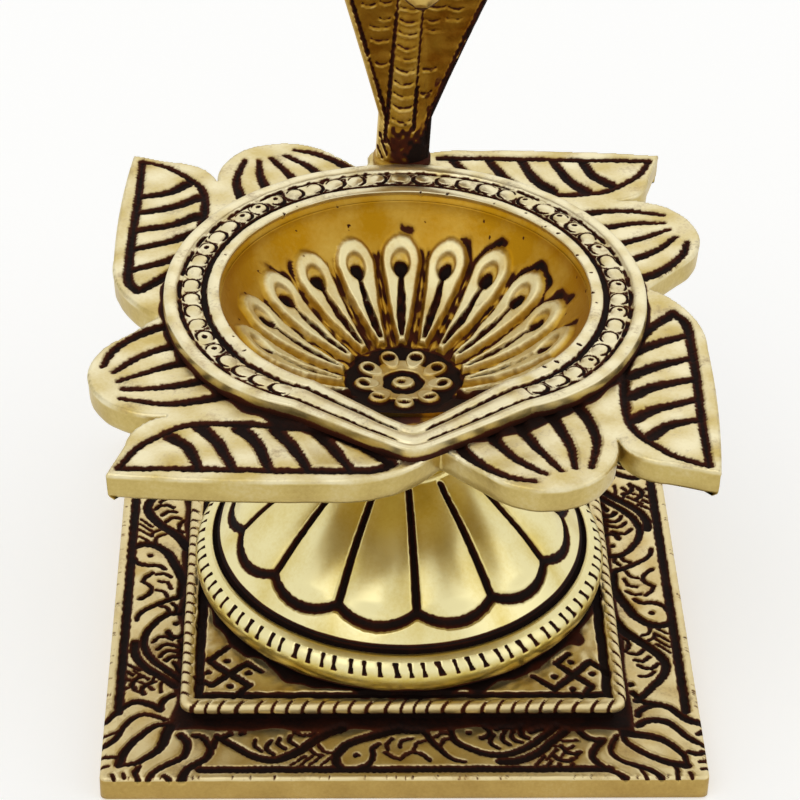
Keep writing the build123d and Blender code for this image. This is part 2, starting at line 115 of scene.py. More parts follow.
def makeStudio(settings):
    world = bpy.data.worlds.new("studioWorld")
    bpy.context.scene.world = world
    world.use_nodes = True
    tree = world.node_tree
    tree.nodes.clear()
    seen = seenRays(tree)
    light = addNode(tree, "ShaderNodeBackground", Strength=settings["worldLight"])
    light.inputs["Color"].default_value = (1, 1, 1, 1)
    shown = addNode(tree, "ShaderNodeBackground", Strength=1.0)
    shown.inputs["Color"].default_value = (1, 1, 1, 1)
    mixed = addNode(tree, "ShaderNodeMixShader", None,
                    {0: seen, 1: light.outputs[0], 2: shown.outputs[0]})
    addNode(tree, "ShaderNodeOutputWorld", None, {"Surface": mixed.outputs[0]})

    bpy.ops.mesh.primitive_plane_add(size=settings["floorSize"])
    floor = bpy.context.active_object
    floor.name = "studioFloor"
    material = bpy.data.materials.new("matt white paper")  # soft white that keeps a faint shadow
    material.use_nodes = True
    tree = material.node_tree
    tree.nodes.clear()
    paper = addNode(tree, "ShaderNodeBsdfDiffuse", Color=linear(settings["floorColour"]))
    strength = addNode(tree, "ShaderNodeMath", {"operation": "MULTIPLY"},
                       {0: seenRays(tree)}, _1=settings["floorGlow"])
    glow = addNode(tree, "ShaderNodeEmission", None, {"Strength": strength.outputs[0]})
    both = addNode(tree, "ShaderNodeAddShader", None, {0: paper.outputs[0], 1: glow.outputs[0]})
    addNode(tree, "ShaderNodeOutputMaterial", None, {"Surface": both.outputs[0]})
    floor.data.materials.append(material)

    for name in ("keyLight", "fillLight", "backLight"):
        power, place, side = settings[name]
        lamp = bpy.data.lights.new(name, "AREA")
        lamp.energy, lamp.size = power, side
        holder = bpy.data.objects.new(name, lamp)
        holder.location = place
        aim = Vector((0, 0, 0.04)) - Vector(place)
        holder.rotation_euler = aim.to_track_quat("-Z", "Y").to_euler()
        bpy.context.scene.collection.objects.link(holder)


makeStudio(studio)

print("stage: cast brass")
brassTones = {  # high spots that the cloth rubs, flats, and where the buff did not reach; painted highlights and painted shade use these tones too
    "buffed": ("#e8dda6", "#ceb75f", "#a88a35"),
    "worn": ("#e8ddb6", "#c6b06c", "#997d3c"),
    "aged": ("#dccb9a", "#bda05c", "#937336"),
    "bowl": ("#e4d7a6", "#be9a42", "#aa7b12"),
    "hood": ("#d6b86a", "#a6802c", "#7e4f10"),
}
tarnishAndPaintedShade = ("#94662a", "#4c1e0b", "#180b06")  # amber haze, red-brown film, nearly black filling; painted shade uses these colours too


def castBrass(name, tones, roughness=0.34, pitSize=0.5, pitDepth=0.25, fray=0.32):
    # Cast brass, sand-cast then buffed: pale high spots, old gold between, pitted skin.
    # Mesh attribute for patina is 0 on bare metal and 1 in a black recess, and also carries painted shade; the one for
    # polish is 0 to 1 and also carries painted highlights and painted shade.
    material = bpy.data.materials.new(name)
    material.use_nodes = True
    tree = material.node_tree
    tree.nodes.clear()

    def sum2(first, factor, second):
        return addNode(tree, "ShaderNodeMath", {"operation": "MULTIPLY_ADD"}, {0: first, 2: second},
                       _1=factor).outputs[0]

    def between(value, low, high, start=0.0, end=1.0):
        node = addNode(tree, "ShaderNodeMapRange", None, {"Value": value})
        for socket, number in zip(node.inputs[1:5], (low, high, start, end)):
            socket.default_value = number
        return node.outputs[0]

    place = addNode(tree, "ShaderNodeTexCoord").outputs["Object"]
    patinaAndPaintedShade = addNode(tree, "ShaderNodeAttribute", {"attribute_name": "patinaAndPaintedShade"}).outputs["Fac"]
    polishAndPaintedLight = addNode(tree, "ShaderNodeAttribute", {"attribute_name": "polishAndPaintedLight"}).outputs["Fac"]
    cloud = addNode(tree, "ShaderNodeTexNoise", None, {"Vector": place},
                    Scale=1 / (6.0 * mm), Detail=4.0, Roughness=0.6).outputs["Fac"]
    grit = addNode(tree, "ShaderNodeTexNoise", None, {"Vector": place},
                   Scale=1 / (pitSize * mm), Detail=5.0, Roughness=0.65).outputs["Fac"]
    scaled = addNode(tree, "ShaderNodeMath", {"operation": "MULTIPLY"}, {0: polishAndPaintedLight}, _1=0.8).outputs[0]
    ramp = addNode(tree, "ShaderNodeValToRGB", None, {"Fac": sum2(grit, 0.3, sum2(cloud, 0.45, scaled))})
    stops = ramp.color_ramp.elements
    stops.new(0.6)
    for stop, position, tone in zip(stops, (0.25, 0.6, 1.0), reversed(tones)):
        stop.position, stop.color = position, linear(tone)
    ragged = sum2(grit, fray, addNode(tree, "ShaderNodeMath", {"operation": "ADD"}, {0: patinaAndPaintedShade},
                                      _1=0.25 - fray / 2).outputs[0])
    covered = between(ragged, 0.4, 0.62)
    depth = addNode(tree, "ShaderNodeValToRGB", None, {"Fac": between(sum2(cloud, 0.75, ragged), 0.75, 1.6)})
    depth.color_ramp.elements.new(0.25)
    for stop, tone in zip(depth.color_ramp.elements, tarnishAndPaintedShade):
        stop.color = linear(tone)
    colour = addNode(tree, "ShaderNodeMix", {"data_type": "RGBA"},
                     {0: covered, 6: ramp.outputs["Color"], 7: depth.outputs["Color"]})
    bump = addNode(tree, "ShaderNodeBump", None, {"Height": grit}, Strength=pitDepth, Distance=0.12 * mm)
    finish = addNode(tree, "ShaderNodeBsdfPrincipled", None, {
        "Base Color": colour.outputs[2], "Metallic": between(covered, 0.6, 1, 1.0, 0.0),
        "Roughness": sum2(cloud, 0.12, between(covered, 0, 1, roughness, 0.7)), "Normal": bump.outputs[0],
    })
    finish.inputs["Specular IOR Level"].default_value = 0.12  # dry tarnish, hardly a shine
    addNode(tree, "ShaderNodeOutputMaterial", None, {"Surface": finish.outputs[0]})
    return material


engravedBrass = castBrass("cast brass, engraved and aged", brassTones["aged"])
domeBrass = castBrass("cast brass, buffed dome", brassTones["buffed"], roughness=0.24, pitDepth=0.12, fray=0.18)
trayBrass = castBrass("cast brass, carved tray", brassTones["worn"], roughness=0.3)
rimBrass = castBrass("cast brass, worn rim", brassTones["worn"], roughness=0.28)
bowlBrass = castBrass("cast brass, old gold bowl", brassTones["bowl"], roughness=0.4, pitSize=0.7, pitDepth=0.4)
nagaBrass = castBrass("cast brass, tarnished hood", brassTones["hood"], roughness=0.36, pitSize=0.6, pitDepth=0.35)
turnedBrass = castBrass("turned brass", brassTones["buffed"], roughness=0.3)


filledFrom = 0.26  # "patina" at which the dark filling covers the metal


def smooth(value):
    share = np.clip(value, 0, 1)
    return share * share * (3 - 2 * share)


def waver(x, y, size, seed, waves=7):
    # Smooth irregular field between about -1 and 1, with bumps of the given size
    pick = np.random.default_rng(seed)
    total = 0.0
    for _ in range(waves):
        turn, phase, pace = pick.uniform(0, 2 * pi), pick.uniform(0, 2 * pi), pick.uniform(0.6, 1.6)
        total = total + np.sin((x * cos(turn) + y * sin(turn)) * pace * 2 * pi / size + phase)
    return total / sqrt(waves) / 1.4


def curve(points, steps=6):
    # Smooth line through a few points
    line = np.asarray(points, float)
    if len(line) < 3:
        return line
    padded = np.vstack([2 * line[0] - line[1], line, 2 * line[-1] - line[-2]])
    share = np.linspace(0, 1, steps, endpoint=False)[:, None]
    runs = []
    for a, b, c, d in zip(padded[:-3], padded[1:-2], padded[2:-1], padded[3:]):
        runs.append(0.5 * (2 * b + (c - a) * share + (2 * a - 5 * b + 4 * c - d) * share ** 2
                           + (3 * b - a - 3 * c + d) * share ** 3))
    return np.vstack(runs + [line[-1:]])


def carve(x, y, strokes, soft=0.2, ragged=0.07, seed=3):
    # Depth of a set of strokes at each point: 0 on the flat, 1 on a stroke's floor, and the
    # value where the dark filling starts at a stroke's edge.
    # A stroke is (line, width) or (line, width at its start, width at its end).
    shape = np.shape(x)
    x, y = np.ravel(x), np.ravel(y)
    rough = ragged * waver(x, y, 0.9, seed)
    depth = np.zeros(len(x))
    for line, *widths in strokes:
        line = np.asarray(line, float)
        reach = max(widths) / 2 + soft + 2 * ragged
        low, high = line.min(0) - reach, line.max(0) + reach
        near = np.flatnonzero((x > low[0]) & (x < high[0]) & (y > low[1]) & (y < high[1]))
        if not len(near):
            continue
        px, py = x[near], y[near]
        edge = np.full(len(near), 1e9)
        size = np.linspace(widths[0], widths[-1], len(line)) / 2
        for i in range(len(line) - 1):
            (ax, ay), (bx, by) = line[i], line[i + 1]
            dx, dy = bx - ax, by - ay
            share = np.clip(((px - ax) * dx + (py - ay) * dy) / (dx * dx + dy * dy + 1e-9), 0, 1)
            away = np.hypot(px - ax - share * dx, py - ay - share * dy)
            edge = np.minimum(edge, away - size[i] - share * (size[i + 1] - size[i]))
        depth[near] = np.maximum(depth[near], filledFrom - (edge + rough[near]) / (2 * soft))
    return np.minimum(depth, 1).reshape(shape)


def turnedStrokes(strokes, degrees):
    c, s = cos(radians(degrees)), sin(radians(degrees))
    spin = np.array([[c, s], [-s, c]])
    return [(np.asarray(line) @ spin, *widths) for line, *widths in strokes]


def makeMesh(name, points, patinaAndPaintedShade, polishAndPaintedLight, quads, triangles, material, slotName, replaced):
    mesh = bpy.data.meshes.new(name)
    mesh.vertices.add(len(points))
    mesh.vertices.foreach_set("co", (points * mm).astype(np.float32).ravel())
    corners = np.concatenate([quads.ravel(), triangles.ravel()]).astype(np.int32)
    starts = np.concatenate([np.arange(len(quads)) * 4, quads.size + np.arange(len(triangles)) * 3])
    mesh.loops.add(len(corners))
    mesh.loops.foreach_set("vertex_index", corners)
    mesh.polygons.add(len(starts))
    mesh.polygons.foreach_set("loop_start", starts.astype(np.int32))
    mesh.update(calc_edges=True)
    mesh.validate()
    for label, values in (("patinaAndPaintedShade", patinaAndPaintedShade), ("polishAndPaintedLight", polishAndPaintedLight)):
        layer = mesh.attributes.new(label, "FLOAT", "POINT")
        layer.data.foreach_set("value", np.asarray(values, np.float32))
    mesh.shade_smooth()
    mesh.materials.append(material)
    piece = bpy.data.objects.new(name, mesh)
    bpy.context.scene.collection.objects.link(piece)
    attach(piece, "root")
    if replaced:
        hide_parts(*replaced)
    print(" ", name, len(quads) * 2 + len(triangles), "triangles")
    return piece


def makePiece(name, grids, material, slotName, replaced=()):
    # One mesh out of grids. A grid is (points in mm, patina with painted shade, polish with painted light, joined
    # round the columns)
    points, patinaAndPaintedShadeParts, polishAndPaintedLightParts, faces, start = [], [], [], [], 0
    for grid, patinaAndPaintedShade, polishAndPaintedLight, joined in grids:
        rows, columns = grid.shape[:2]
        index = np.arange(rows * columns).reshape(rows, columns) + start
        if joined:
            index = np.concatenate([index, index[:, :1]], 1)
        corners = (index[:-1, :-1], index[:-1, 1:], index[1:, 1:], index[1:, :-1])
        faces.append(np.stack(corners, -1).reshape(-1, 4))
        points.append(grid.reshape(-1, 3))
        patinaAndPaintedShadeParts.append(np.broadcast_to(patinaAndPaintedShade, (rows, columns)).ravel())
        polishAndPaintedLightParts.append(np.broadcast_to(polishAndPaintedLight, (rows, columns)).ravel())
        start += rows * columns
    return makeMesh(name, np.vstack(points), np.concatenate(patinaAndPaintedShadeParts), np.concatenate(polishAndPaintedLightParts),
                    np.vstack(faces), np.zeros((0, 3), int), material, slotName, replaced)


def squareRing(columns, half, corner=0.0):
    # Points round a square, anticlockwise from its front left corner, with rounded corners
    share = np.linspace(0, 1, columns, endpoint=False)
    run = np.stack([2 * half * share - half, np.full(columns, -half)], -1)
    sides = []
    for _ in range(4):
        sides.append(run)
        run = np.stack([-run[:, 1], run[:, 0]], -1)
    ring = np.vstack(sides)
    if corner > 0:
        core = np.clip(ring, corner - half, half - corner)
        offset = ring - core
        length = np.hypot(offset[:, 0], offset[:, 1])[:, None]
        ring = core + offset * (corner / np.maximum(length, 1e-9))
    return ring


print("stage: base plate")
basePlate = {
    "half": 38.0, "top": 3.6, "plinthHalf": 28.35, "corner": 0.8, "edgeRound": 0.5,
    "footWidth": 6.0, "hollow": 1.0, "carvingDepth": 0.38, "columnsPerSide": 390, "topRows": 52,
    "edgeNicks": 150,
}
# Strokes of one side's border, in mm: along the side, and in from the plate's edge
vineStrokes = [
    ([(-25.6, 1.75), (25.6, 1.75)], 0.95),
    ([(-23.6, 7.9), (-22.0, 6.5), (-20.7, 5.5), (-19.4, 4.4), (-17.7, 3.6), (-16.2, 3.5), (-14.8, 4.1),
      (-13.2, 5.2), (-11.7, 6.7), (-10.0, 8.2), (-7.8, 9.4)], 0.8, 1.3),
    ([(-18.8, 7.1), (-18.8, 6.0), (-18.0, 5.1)], 0.4),
    ([(-16.8, 7.0), (-17.3, 6.1), (-17.2, 5.2), (-16.4, 4.5)], 0.45),
    ([(-15.7, 7.4), (-15.9, 6.4), (-15.0, 5.5)], 0.45),
    ([(-14.3, 8.0), (-14.5, 7.0), (-13.6, 6.1)], 0.45),
    ([(-13.9, 8.6), (-12.9, 8.0), (-11.7, 8.1), (-11.3, 8.6)], 0.4),
    ([(-10.8, 6.1), (-10.2, 5.1), (-9.2, 4.8), (-8.5, 5.1)], 0.35),
    ([(-11.8, 5.4), (-11.2, 4.5), (-10.3, 4.3)], 0.35),
    ([(-12.5, 4.2), (-14.2, 2.6)], 0.35, 0.2),
    ([(-11.6, 4.2), (-13.1, 2.5)], 0.35, 0.2),
    ([(-10.6, 4.0), (-12.0, 2.4)], 0.35, 0.2),
    ([(-9.4, 3.8), (-10.4, 2.6)], 0.35, 0.2),
    ([(-0.5, 9.1), (-2.7, 8.4), (-4.6, 7.6), (-6.6, 6.7), (-7.9, 5.5), (-8.6, 4.1), (-8.6, 3.0), (-8.0, 2.0)],
     1.2, 0.9),
    ([(-5.5, 2.1), (-4.6, 2.6), (-4.0, 4.0), (-4.0, 5.5), (-3.2, 6.4)], 0.7, 0.5),
    ([(-1.5, 7.3), (-2.2, 6.4), (-2.1, 5.4)], 0.4),
    ([(-2.4, 4.8), (-1.5, 3.9), (-0.7, 3.6)], 0.45),
    ([(-0.6, 5.8), (-0.3, 6.9), (1.0, 7.4)], 0.35),
    ([(1.2, 5.4), (1.6, 6.5), (2.6, 7.0)], 0.35),
    ([(-0.6, 3.5), (0.4, 4.6), (1.3, 4.8), (2.2, 4.4), (3.1, 3.4)], 0.4, 0.5),
    ([(-0.5, 9.0), (1.1, 8.8), (2.6, 8.6), (3.3, 7.2), (4.3, 5.6), (5.4, 4.1), (6.5, 3.3), (7.5, 3.1)], 0.9, 0.4),
    ([(4.0, 7.7), (4.7, 8.3), (5.5, 8.3)], 0.4),
    ([(4.6, 6.2), (5.0, 7.1), (5.8, 7.4)], 0.4),
    ([(9.8, 7.4), (10.6, 7.8), (10.9, 8.7), (10.3, 9.5)], 0.6),
    ([(11.4, 8.1), (10.9, 7.0), (11.0, 6.2), (11.9, 5.5)], 0.4),
    ([(12.9, 8.9), (12.4, 7.7), (12.6, 6.8), (13.3, 6.2)], 0.45),
    ([(13.9, 8.9), (13.6, 7.8), (14.0, 7.0), (14.8, 6.6)], 0.45),
    ([(11.7, 9.0), (12.6, 9.4), (14.1, 9.3)], 0.4),
    ([(14.9, 9.6), (14.9, 8.0), (15.6, 7.4)], 0.6),
    ([(16.1, 8.5), (17.7, 9.3)], 0.6),
    ([(6.0, 8.9), (6.2, 7.4), (7.2, 6.2), (8.7, 5.2), (10.3, 4.5), (12.2, 4.3), (14.2, 4.9), (16.1, 6.2),
      (17.9, 8.0), (19.4, 9.6)], 0.7, 0.9),
    ([(18.2, 5.5), (16.6, 3.9)], 0.35, 0.2),
    ([(19.2, 5.3), (17.7, 3.3)], 0.35, 0.2),
    ([(19.1, 7.8), (20.1, 6.9), (21.8, 7.0)], 0.3),
    ([(18.6, 6.7), (19.0, 5.9), (20.1, 5.7)], 0.3),
    ([(21.3, 5.9), (20.4, 5.1), (19.5, 3.6)], 0.35, 0.2),
    ([(22.1, 4.9), (21.3, 3.4)], 0.35, 0.2),
]
vineDots = [(-20.5, 8.4, 0.5), (-6.1, 4.3, 0.45), (8.2, 8.4, 0.45)]
# Strokes of one corner's lotus, in mm from the plate's corner along its two edges
lotusStrokes = [
    ([(8.2, 10.3), (6.5, 9.8), (5.0, 8.3), (3.8, 6.7), (2.8, 4.8), (2.3, 2.7)], 0.6, 1.0),
    ([(8.5, 9.9), (8.0, 8.4), (7.7, 6.8), (7.1, 5.4), (5.7, 4.0), (4.2, 2.9), (2.3, 2.6)], 1.3, 0.5),
    ([(7.8, 11.0), (6.4, 11.7), (5.0, 12.0), (3.9, 11.5), (3.0, 10.5), (2.3, 9.1), (1.8, 7.8), (1.0, 6.7),
      (0.1, 6.0)], 0.5, 0.7),
    ([(7.0, 12.9), (5.8, 13.8), (4.2, 14.4), (3.0, 14.0), (1.8, 12.8), (0.9, 11.5), (0.2, 10.5)], 0.9, 0.6),
    ([(6.9, 13.1), (7.5, 14.8), (8.6, 15.7)], 0.7),
    ([(9.8, 8.1), (10.6, 6.9), (10.7, 5.6), (10.2, 4.1), (9.1, 3.2), (7.9, 2.4), (6.9, 1.5), (6.3, 0.7),
      (6.0, 0.0)], 0.9, 0.6),
    ([(11.6, 8.0), (12.5, 7.7), (13.3, 6.5), (13.6, 5.2), (13.0, 3.7), (11.9, 2.8), (10.9, 1.9), (10.4, 0.9),
      (10.2, 0.0)], 0.7, 1.0),
    ([(13.9, 5.8), (14.2, 7.1), (15.1, 7.7), (16.0, 8.3)], 0.7),
    ([(0.0, 7.8), (1.7, 8.6)], 0.3), ([(0.0, 4.0), (2.1, 4.0)], 0.4), ([(4.8, 2.2), (4.4, 1.2), (4.8, 0.1)], 0.6),
    ([(8.0, 0.7), (8.7, 0.1)], 0.45), ([(1.6, 0.9), (1.8, 0.2)], 0.3), ([(2.9, 1.1), (3.1, 0.4)], 0.3),
    ([(0.2, 2.2), (1.0, 2.4)], 0.3),
    # the vine that ends beside the lotus, with its arcs and a fan of short cuts
    ([(3.2, 26.0), (3.2, 24.0), (4.1, 22.0), (5.4, 20.5), (7.0, 19.1), (8.7, 17.5)], 1.0, 1.0),
    ([(4.4, 19.4), (3.4, 18.6), (3.2, 17.5), (3.6, 16.9)], 0.5), ([(6.0, 18.2), (4.9, 17.6), (4.5, 16.7), (4.8, 15.9)], 0.5),
    ([(2.0, 21.9), (4.0, 20.5)], 0.2, 0.4), ([(1.6, 20.7), (3.2, 19.6)], 0.2, 0.4),
    ([(1.6, 19.3), (2.7, 18.6)], 0.2, 0.4), ([(1.6, 17.5), (2.6, 17.0)], 0.2, 0.4), ([(1.6, 16.2), (2.2, 15.9)], 0.2, 0.35),
]


def borderStrokes(half):
    def bold(widths):
        return [width * 1.12 + 0.22 for width in widths]

    side = [(curve(line) + (0, -half), *bold(widths)) for line, *widths in vineStrokes]
    side += [([(x, y - half), (x + 0.05, y - half)], 2 * r) for x, y, r in vineDots]
    side += [(curve(line) - half, *bold(widths)) for line, *widths in lotusStrokes]
    return [stroke for turn in range(4) for stroke in turnedStrokes(side, 90 * turn)]


def makeBasePlate(plate):
    half, top, columns = plate["half"], plate["top"], plate["columnsPerSide"]
    inner = plate["plinthHalf"] - 1.6
    share = np.linspace(0, 1, plate["topRows"])
    insets = inner + (half - plate["edgeRound"] - inner) * share
    rings = [squareRing(columns, h, plate["corner"] * s) for h, s in zip(insets, share)]
    heights = [top] * len(rings)
    for turn in np.linspace(15, 90, 5):
        out = half - plate["edgeRound"] * (1 - sin(radians(turn)))
        rings.append(squareRing(columns, out, plate["corner"]))
        heights.append(top - plate["edgeRound"] * (1 - cos(radians(turn))))
    for height in (2.2, 1.2, 0.25, 0.0):
        rings.append(squareRing(columns, half - (0.2 if height == 0 else 0), plate["corner"]))
        heights.append(height)
    for inset, height in ((plate["footWidth"], 0.0), (plate["footWidth"] + 0.1, plate["hollow"]), (31.0, plate["hollow"])):
        rings.append(squareRing(columns, half - inset, plate["corner"]))
        heights.append(height)
    ring = np.stack(rings)
    x, y = ring[..., 0], ring[..., 1]
    z = np.repeat(np.array(heights)[:, None], ring.shape[1], 1)
    onTop = (z > top - plate["edgeRound"]) * 1.0
    depth = carve(x, y, borderStrokes(half)) * onTop
    reach = np.maximum(abs(x), abs(y))
    pick = np.random.default_rng(11)
    nicks = []
    for turn in range(4):
        for spot in np.sort(pick.uniform(-36.5, 36.5, plate["edgeNicks"] // 4)):
            nicks.append(turnedStrokes([([(spot, -half + 0.15), (spot + 0.1, -half + 0.5)], 0.3)], 90 * turn)[0])
    nick = carve(x, y, nicks, soft=0.15) * onTop
    z = z - plate["carvingDepth"] * depth - 0.12 * nick + 0.04 * waver(x, y, 5.0, 21) * onTop
    shade = smooth((plate["plinthHalf"] + 1.5 - reach) / 1.6 + 0.25 * waver(x, y, 7.0, 5)) * onTop
    haze = (0.12 + 0.08 * waver(x, y, 9.0, 8)) * onTop
    patinaAndPaintedShade = np.maximum.reduce([depth, 0.9 * shade, 0.5 * nick, haze])
    polishAndPaintedLight = 0.2 + (0.45 + 0.18 * waver(x, y, 6.0, 4) + 0.15 * (reach > half - 1.6)) * onTop
    makePiece("basePlate", [(np.stack([x, y, z], -1), patinaAndPaintedShade, polishAndPaintedLight, True)],
              engravedBrass, "base_brass", ["base_plate"])


makeBasePlate(basePlate)

print("stage: plinth and rope")
plinth = {
    "half": 27.45, "top": 6.8, "foot": 3.6, "undercut": 1.4, "setback": 0.5, "hiddenRadius": 23.5,
    "grooveMiddle": 26.0, "grooveWidth": 1.15, "carvingDepth": 0.35, "columnsPerSide": 300, "topRows": 60,
}
# Auspicious cross in one corner: four bent arms and four dots, in mm from the lamp's middle
crossCentre = (-22.2, -21.9)
crossArms = [
    ([(0, 0), (-2.7, 2.6), (-0.3, 5.2)], 1.0, 1.1, 0.7),
    ([(0, 0), (-2.2, -2.2), (-4.3, -0.6)], 1.0, 1.1, 0.6),
    ([(0, 0), (2.6, -2.2), (0.6, -4.4)], 1.0, 1.1, 0.7),
    ([(0, 0), (2.2, 2.1), (4.1, 0.4)], 1.0, 1.0, 0.6),
]
crossDots = [(-0.4, 2.5), (0.1, -2.4), (-2.8, 0.3), (2.4, 0.2)]


def makePlinth(tier):
    half, top, rows, columns = tier["half"], tier["top"], tier["topRows"], tier["columnsPerSide"]
    outer = squareRing(columns, half, 0.3)
    inner = outer / np.hypot(outer[:, 0], outer[:, 1])[:, None] * tier["hiddenRadius"]
    share = np.linspace(0, 1, rows)[:, None, None]
    rings = list(inner + (outer - inner) * share)
    heights = [top] * rows
    ledge = tier["foot"] + tier["undercut"]
    for inset, height in ((0.0, top - 0.9), (0.0, ledge), (tier["setback"], ledge), (tier["setback"], tier["foot"])):
        rings.append(squareRing(columns, half - inset, 0.3))
        heights.append(height)
    ring = np.stack(rings)
    x, y = ring[..., 0], ring[..., 1]
    z = np.repeat(np.array(heights, float)[:, None], ring.shape[1], 1)
    onTop = (z > top - 0.1) * 1.0
    strokes = []
    for line, *widths in crossArms:
        strokes.append((np.array(line) + crossCentre, *(width + 0.25 for width in widths)))
    for dx, dy in crossDots:
        spot = np.array([(dx, dy), (dx + 0.1, dy)]) + crossCentre
        strokes.append((spot, 1.0))
    strokes = [s for turn in range(4) for s in turnedStrokes(strokes, 90 * turn)]
    depth = carve(x, y, strokes)
    reach = np.maximum(abs(x), abs(y))
    edge = abs(reach - tier["grooveMiddle"]) - tier["grooveWidth"] / 2 + 0.1 * waver(x, y, 3.0, 31)
    groove = smooth(0.5 - edge / 0.3) * onTop
    radius = np.hypot(x, y)
    shadow = smooth((27.6 - radius + 0.9 * waver(x, y, 5.0, 33)) / 1.2) * onTop
    # painted shadow: the plinth's side under the rope and its undercut are darkened
    low = smooth((6.3 - z) / 0.5)
    z = z - tier["carvingDepth"] * depth * onTop - 0.5 * groove + 0.05 * waver(x, y, 2.2, 35) * onTop
    haze = (0.12 + 0.08 * waver(x, y, 4.0, 36)) * onTop
    patinaAndPaintedShade = np.maximum.reduce([depth * onTop, groove, shadow, low, haze])
    polishAndPaintedLight = 0.6 + 0.2 * waver(x, y, 4.0, 37)
    makePiece("plinthTier", [(np.stack([x, y, z], -1), patinaAndPaintedShade, polishAndPaintedLight, True)], engravedBrass, "base_brass", ["plinth"])


makePlinth(plinth)
rope = {"half": 27.45, "middle": 6.05, "radius": 0.9, "corner": 1.1, "notches": 108, "notchDepth": 0.17,
        "slant": 0.16, "perNotch": 12, "around": 20}


def makeRope(cord):
    count = cord["notches"] * cord["perNotch"]
    fine = squareRing(4000, cord["half"], cord["corner"])
    step = np.hypot(*(np.roll(fine, -1, 0) - fine).T)
    length = np.concatenate([[0], np.cumsum(step)])
    closed = np.vstack([fine, fine[:1]])
    spots = np.linspace(0, length[-1], count, endpoint=False)
    path = np.stack([np.interp(spots, length, closed[:, k]) for k in (0, 1)], -1)
    ahead = np.roll(path, -1, 0) - np.roll(path, 1, 0)
    ahead /= np.hypot(ahead[:, 0], ahead[:, 1])[:, None]
    out = np.stack([ahead[:, 1], -ahead[:, 0]], -1)
    turn = np.linspace(0, 2 * pi, cord["around"], endpoint=False)[:, None]
    wander = 0.22 * waver(spots, spots * 0, 9.0, 41)
    phase = np.arange(count)[None, :] / cord["perNotch"] + cord["slant"] * np.cos(turn) * 2 + wander
    gap = abs((phase % 1) - 0.5)
    notch = smooth((0.17 - gap) / 0.12)
    square = 1 / np.maximum(abs(np.cos(turn)), abs(np.sin(turn)))
    radius = cord["radius"] * (0.82 + 0.18 * np.minimum(square, 1.22)) * (1 - cord["notchDepth"] * notch)
    radius = radius * (1 + 0.03 * waver(spots, spots * 0, 2.6, 43)[None, :])
    side = radius * np.cos(turn)
    x = path[None, :, 0] + out[None, :, 0] * side
    y = path[None, :, 1] + out[None, :, 1] * side
    z = cord["middle"] + radius * np.sin(turn)
    # the underside of the rope is darkened: painted shade
    patinaAndPaintedShade = np.maximum(0.62 * notch, 0.9 * smooth((-np.sin(turn) - 0.35) / 0.4))
    polishAndPaintedLight = 0.75 - 0.5 * notch
    grid = np.stack([x, y, z], -1)[::-1]
    grid = np.concatenate([grid, grid[:1]], 0)
    patinaAndPaintedShade, polishAndPaintedLight = (np.concatenate([v[::-1], v[-1:]], 0) for v in (patinaAndPaintedShade, polishAndPaintedLight))
    makePiece("plinthRope", [(grid, patinaAndPaintedShade, polishAndPaintedLight, True)], engravedBrass, "base_brass")


makeRope(rope)

print("stage: lotus dome")
dome = {
    "foot": 6.8, "petals": 13, "turn": 4.4, "joinRadius": 21.4, "endRadius": 22.6, "topRadius": 9.2,
    "lineWidth": 1.15, "lineDepth": 0.5, "pillow": 0.7, "columns": 780, "rows": 112,
    "start": (24.2, 6.1), "shoulder": (17.7, 13.3), "end": (8.5, 20.1), "crown": 20.6,
}
band = {
    "centre": (24.37, 2.82), "radius": 2.83, "footAngle": -84.0, "topAngle": 57.0, "ticks": 86,
    "tickFrom": 16.0, "tickTo": 54.0, "tickDepth": 0.34, "perTick": 13, "rows": 44,
    "grooveFoot": (24.2, 5.7),
}


def throughThree(a, b, c, count):
    # Arc through three points
    (ax, ay), (bx, by), (cx, cy) = a, b, c
    left = np.array([[bx - ax, by - ay], [cx - bx, cy - by]]) * 2
    right = [bx * bx + by * by - ax * ax - ay * ay, cx * cx + cy * cy - bx * bx - by * by]
    centre = np.linalg.solve(left, right)
    radius = np.hypot(ax - centre[0], ay - centre[1])
    turns = np.unwrap([np.arctan2(p[1] - centre[1], p[0] - centre[0]) for p in (a, b, c)])
    turn = np.linspace(turns[0], turns[2], count)
    return np.stack([centre[0] + radius * np.cos(turn), centre[1] + radius * np.sin(turn)], -1)


def around(azimuth, radius):
    # Plan position at an azimuth from the spout side (-Y) towards +X
    return radius * np.sin(azimuth), -radius * np.cos(azimuth)


